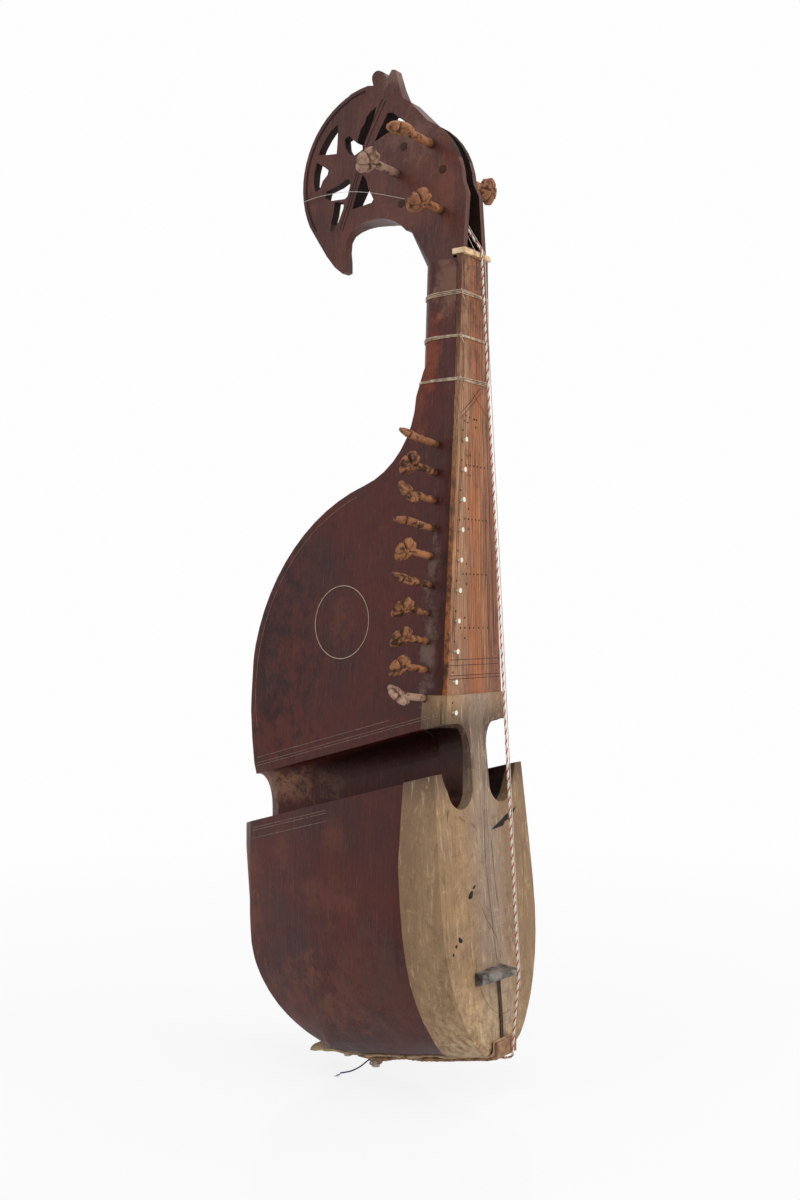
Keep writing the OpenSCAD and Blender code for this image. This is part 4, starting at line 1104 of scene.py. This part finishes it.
# %% Folds and hairs
folds = []
for radius, sink, places in (
        (1.3, -0.7, [(446, 800), (444, 850), (446, 900), (448, 950), (456, 985), (478, 1020)]),
        (0.8, -0.45, [(452, 830), (451, 880), (453, 930), (460, 970)]),
        (0.7, -0.4, [(480, 760), (484, 820), (487, 880), (492, 930)]),
        (0.6, -0.3, [(494, 850), (498, 900), (502, 950), (505, 985)]),
        (0.9, -0.5, [(425, 800), (416, 850), (413, 900), (418, 950)])):
    route = seen_route(places, sink, 2.0, outside)
    folds.append(thread("fold", route, radius, goat_skin, sides=2,
                        tilt_taper=lambda u: 0.35 + 0.65 * math.sin(math.pi * u)))
for radius, sink, places in (
        (1.0, -0.5, [(432, 985), (442, 1012), (458, 1036)]), (0.8, -0.4, [(440, 975), (452, 1004), (472, 1032), (484, 1042)]),
        (0.7, -0.35, [(426, 1000), (438, 1026), (452, 1044)]), (0.7, -0.3, [(447, 790), (449, 810), (447, 826)]),
        (0.8, -0.4, [(520, 830), (524, 880), (522, 930)]), (0.7, -0.3, [(455, 860), (459, 905), (464, 935)]),
        (1.6, -0.6, [(457, 813), (461, 818), (467, 820)]), (1.2, -0.5, [(470, 822), (476, 828), (478, 836)])):
    route = seen_route(places, sink, 2.0, outside)
    folds.append(thread("fold", route, radius, goat_skin, sides=2,
                        tilt_taper=lambda u: 0.35 + 0.65 * math.sin(math.pi * u)))
join(folds, "skin_folds")
hairs = []
for places in ([(482, 908), (488, 922), (496, 936), (501, 958)], [(476, 957), (478, 980), (487, 1003), (500, 1014), (512, 1008)],
               [(484, 770), (485, 850), (492, 920), (497, 960)], [(489, 760), (491, 840), (497, 900)]):
    hairs.append(thread("hair", seen_route(places, 0.1, 3.0, outside), 0.16, hair_dark, sides=1))
for places in ([(485, 730), (487, 800), (493, 900), (499, 950)], [(478, 742), (481, 800), (484, 850)]):
    hairs.append(thread("hair", seen_route(places, 0.1, 3.0, outside), 0.2, string_grey, sides=1))
join(hairs, "skin_hairs")
print("folds and hairs made")

# %% [markdown]
# ## Leather under the bowl
# Two layers of strap leather lie under the bowl, the tan one on the wood and the brown one below it. Old
# leather curls away from what it covers, so the solid strips are given an even mesh, their edges are bent
# down more and less along their length, and a slow noise makes them buckle.

# %% Curled straps


def curl_strap(node, name, material, curl, seed):
    piece = softened(node, name, material, material, 0.8, segments=2)
    remesh = piece.modifiers.new("even_mesh", "REMESH")
    remesh.mode = "VOXEL"
    remesh.voxel_size = 0.8 * MM
    apply_all(piece)
    for vertex in piece.data.vertices:
        x, y, z = vertex.co.x / MM, vertex.co.y / MM + BUTTON_DEPTH, vertex.co.z / MM + DRAWING_DROP
        edge = max(0.0, (abs(x) - 9) / 8)
        flat = min(1.0, max(0.0, (y + 8) / 25)) * min(1.0, max(0.0, (30 - z) / 12))
        wave = 0.55 + 0.45 * math.sin(y / 9.0 + seed + (1.7 if x > 0 else 0)) + 0.4 * noise.noise(Vector((x / 20, y / 14, seed)))
        vertex.co.z -= curl * edge * edge * wave * flat * MM
        buckle = noise.noise(Vector((x / 11, y / 8, seed + z / 30)))
        vertex.co.z -= max(0.0, buckle) * 0.8 * flat * MM
        vertex.co.x += 0.9 * noise.noise(Vector((seed, y / 7, z / 9))) * min(1.0, abs(x) / 16) * MM
        vertex.co.y -= max(0.0, 0.7 * noise.noise(Vector((x / 9, seed, z / 7)))) * (1 - flat) * MM
    only(piece)
    bpy.ops.object.shade_smooth()
    return piece


curl_strap("tail_strap_inner", "tan_strap", tan_leather, 2.6, 1.0)
curl_strap("tail_strap_outer", "brown_strap", brown_leather, 2.2, 4.0)
print("straps curled")

# %% Knot at the tail button
knot_route = [at(5.6 * math.cos(a), 110 + 5.6 * math.sin(a), 1.2 + 1.6 * math.sin(a * 0.5 + 0.5))
              for a in (k * math.pi / 12 for k in range(60))]
laid_cord("button_knot", knot_route, 0.9, 7.0, (cream_thread, cream_thread, red_thread), "rubab")
thread_low, thread_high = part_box("tail_thread")
loose_end = min((v.co.copy() for v in frame["nodes"]["tail_thread"].data.vertices), key=lambda c: c.x)
frays = []
for k in range(7):
    swing = noise.noise_vector(Vector((k * 3.1, 0.4, 1.7)))
    end = loose_end + Vector((-7 - 2 * swing.x, swing.y * 5, -1.0 + swing.z * 1.5)) * MM
    middle = (loose_end + end) / 2 + Vector((0, swing.z, swing.x)) * 1.5 * MM
    frays.append(thread("fray", smooth_route([loose_end, middle, end], 1.5), 0.16, blue_thread, sides=1))
frayed_end = join(frays, "blue_frays")
tail_route = smooth_route([at(-9, 108, thread_high[2] / MM + DRAWING_DROP - 0.5), at(-14, 111, 4.4), at(-20, 114, 0.8),
                           at(-28, 118, -1.7), at(-38, 123, -1.9)], 1.0)
tail_cord = thread("blue_tail_thread", tail_route, 0.7, blue_thread, sides=2)
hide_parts("tail_thread")
route_length(tail_route)
print("tail thread", round(route_length(tail_route), 4), "m, head thread", round(route_length(stray_route), 4), "m")

# %% [markdown]
# ## Studio
# The floor is white and so large that its edge is never seen. To the camera it is mostly its own white, so
# that no more light falls on the instrument than it needs, but a share of it is a real surface that keeps
# the soft shadow and a faint reflection. The world is white to the camera and a softer grey to the light.

# %% Floor and world
FLOOR_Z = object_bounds()[0][2]
bpy.ops.mesh.primitive_plane_add(size=24, location=(0, 0, FLOOR_Z - 0.0002))
floor = bpy.context.object
floor.name = "studio_floor"
floor_white, tree, shader = start_material("floor_white")
shader.inputs["Base Color"].default_value = (0.86, 0.86, 0.87, 1)
shader.inputs["Roughness"].default_value = 0.16
glow = put(tree, "ShaderNodeEmission", {"Color": (0.985, 0.985, 0.99, 1), "Strength": 1.0})
path = put(tree, "ShaderNodeLightPath")
seen = maths(tree, "MAXIMUM", maths(tree, "MAXIMUM", path.outputs["Is Camera Ray"], path.outputs["Is Glossy Ray"]),
             path.outputs["Is Transmission Ray"])
place = object_place(tree)
away = put(tree, "ShaderNodeVectorMath", {0: place}, operation="LENGTH").outputs["Value"]
share = between(tree, away, 0.25, 1.3, 0.86, 1.0)
mixed = put(tree, "ShaderNodeMixShader", {0: maths(tree, "MULTIPLY", seen, share), 1: shader.outputs[0], 2: glow.outputs[0]})
tree.links.new(mixed.outputs[0], [n for n in tree.nodes if n.type == "OUTPUT_MATERIAL"][0].inputs[0])
floor.data.materials.append(floor_white)

world = bpy.data.worlds.new("studio_world")
bpy.context.scene.world = world
world.use_nodes = True
tree = world.node_tree
tree.nodes.clear()
path = put(tree, "ShaderNodeLightPath")
seen = maths(tree, "MAXIMUM", maths(tree, "MAXIMUM", path.outputs["Is Camera Ray"], path.outputs["Is Glossy Ray"]),
             path.outputs["Is Transmission Ray"])
soft = put(tree, "ShaderNodeBackground", {"Color": (0.92, 0.95, 1.0, 1), "Strength": 0.42})
white = put(tree, "ShaderNodeBackground", {"Color": (0.985, 0.985, 0.99, 1), "Strength": 1.0})
camera_only = put(tree, "ShaderNodeMixShader", {
    0: seen, 1: soft.outputs[0], 2: white.outputs[0]})
final = put(tree, "ShaderNodeOutputWorld", {0: camera_only.outputs[0]})
bpy.context.scene.view_settings.view_transform = "Standard"
print("floor at", round(FLOOR_Z, 4))

# %% [markdown]
# Three large soft boxes light it: one in front and to the right, which makes the belly the brightest face,
# a weaker one on the near side, which slides a bluish sheen over the oiled flank, and one above.

# %% Soft boxes


def soft_box(name, location, target, width, height, watts, colour):
    bpy.ops.object.light_add(type="AREA", location=location)
    lamp = bpy.context.object
    lamp.name = name
    lamp.data.shape = "RECTANGLE"
    lamp.data.size = width
    lamp.data.size_y = height
    lamp.data.energy = watts
    lamp.data.color = colour
    lamp.rotation_euler = (Vector(target) - Vector(location)).to_track_quat("-Z", "Y").to_euler()
    return lamp


soft_box("front_box", (0.35, -2.1, 1.2), (0, 0, 0.45), 1.2, 1.8, 30.0, (1.0, 0.98, 0.95))
soft_box("side_box", (-2.1, 0.9, 1.1), (0, 0, 0.4), 1.2, 1.8, 16.0, (0.92, 0.96, 1.0))
soft_box("top_box", (-0.2, -0.2, 2.4), (0, 0, 0.4), 1.6, 1.6, 16.0, (1.0, 1.0, 1.0))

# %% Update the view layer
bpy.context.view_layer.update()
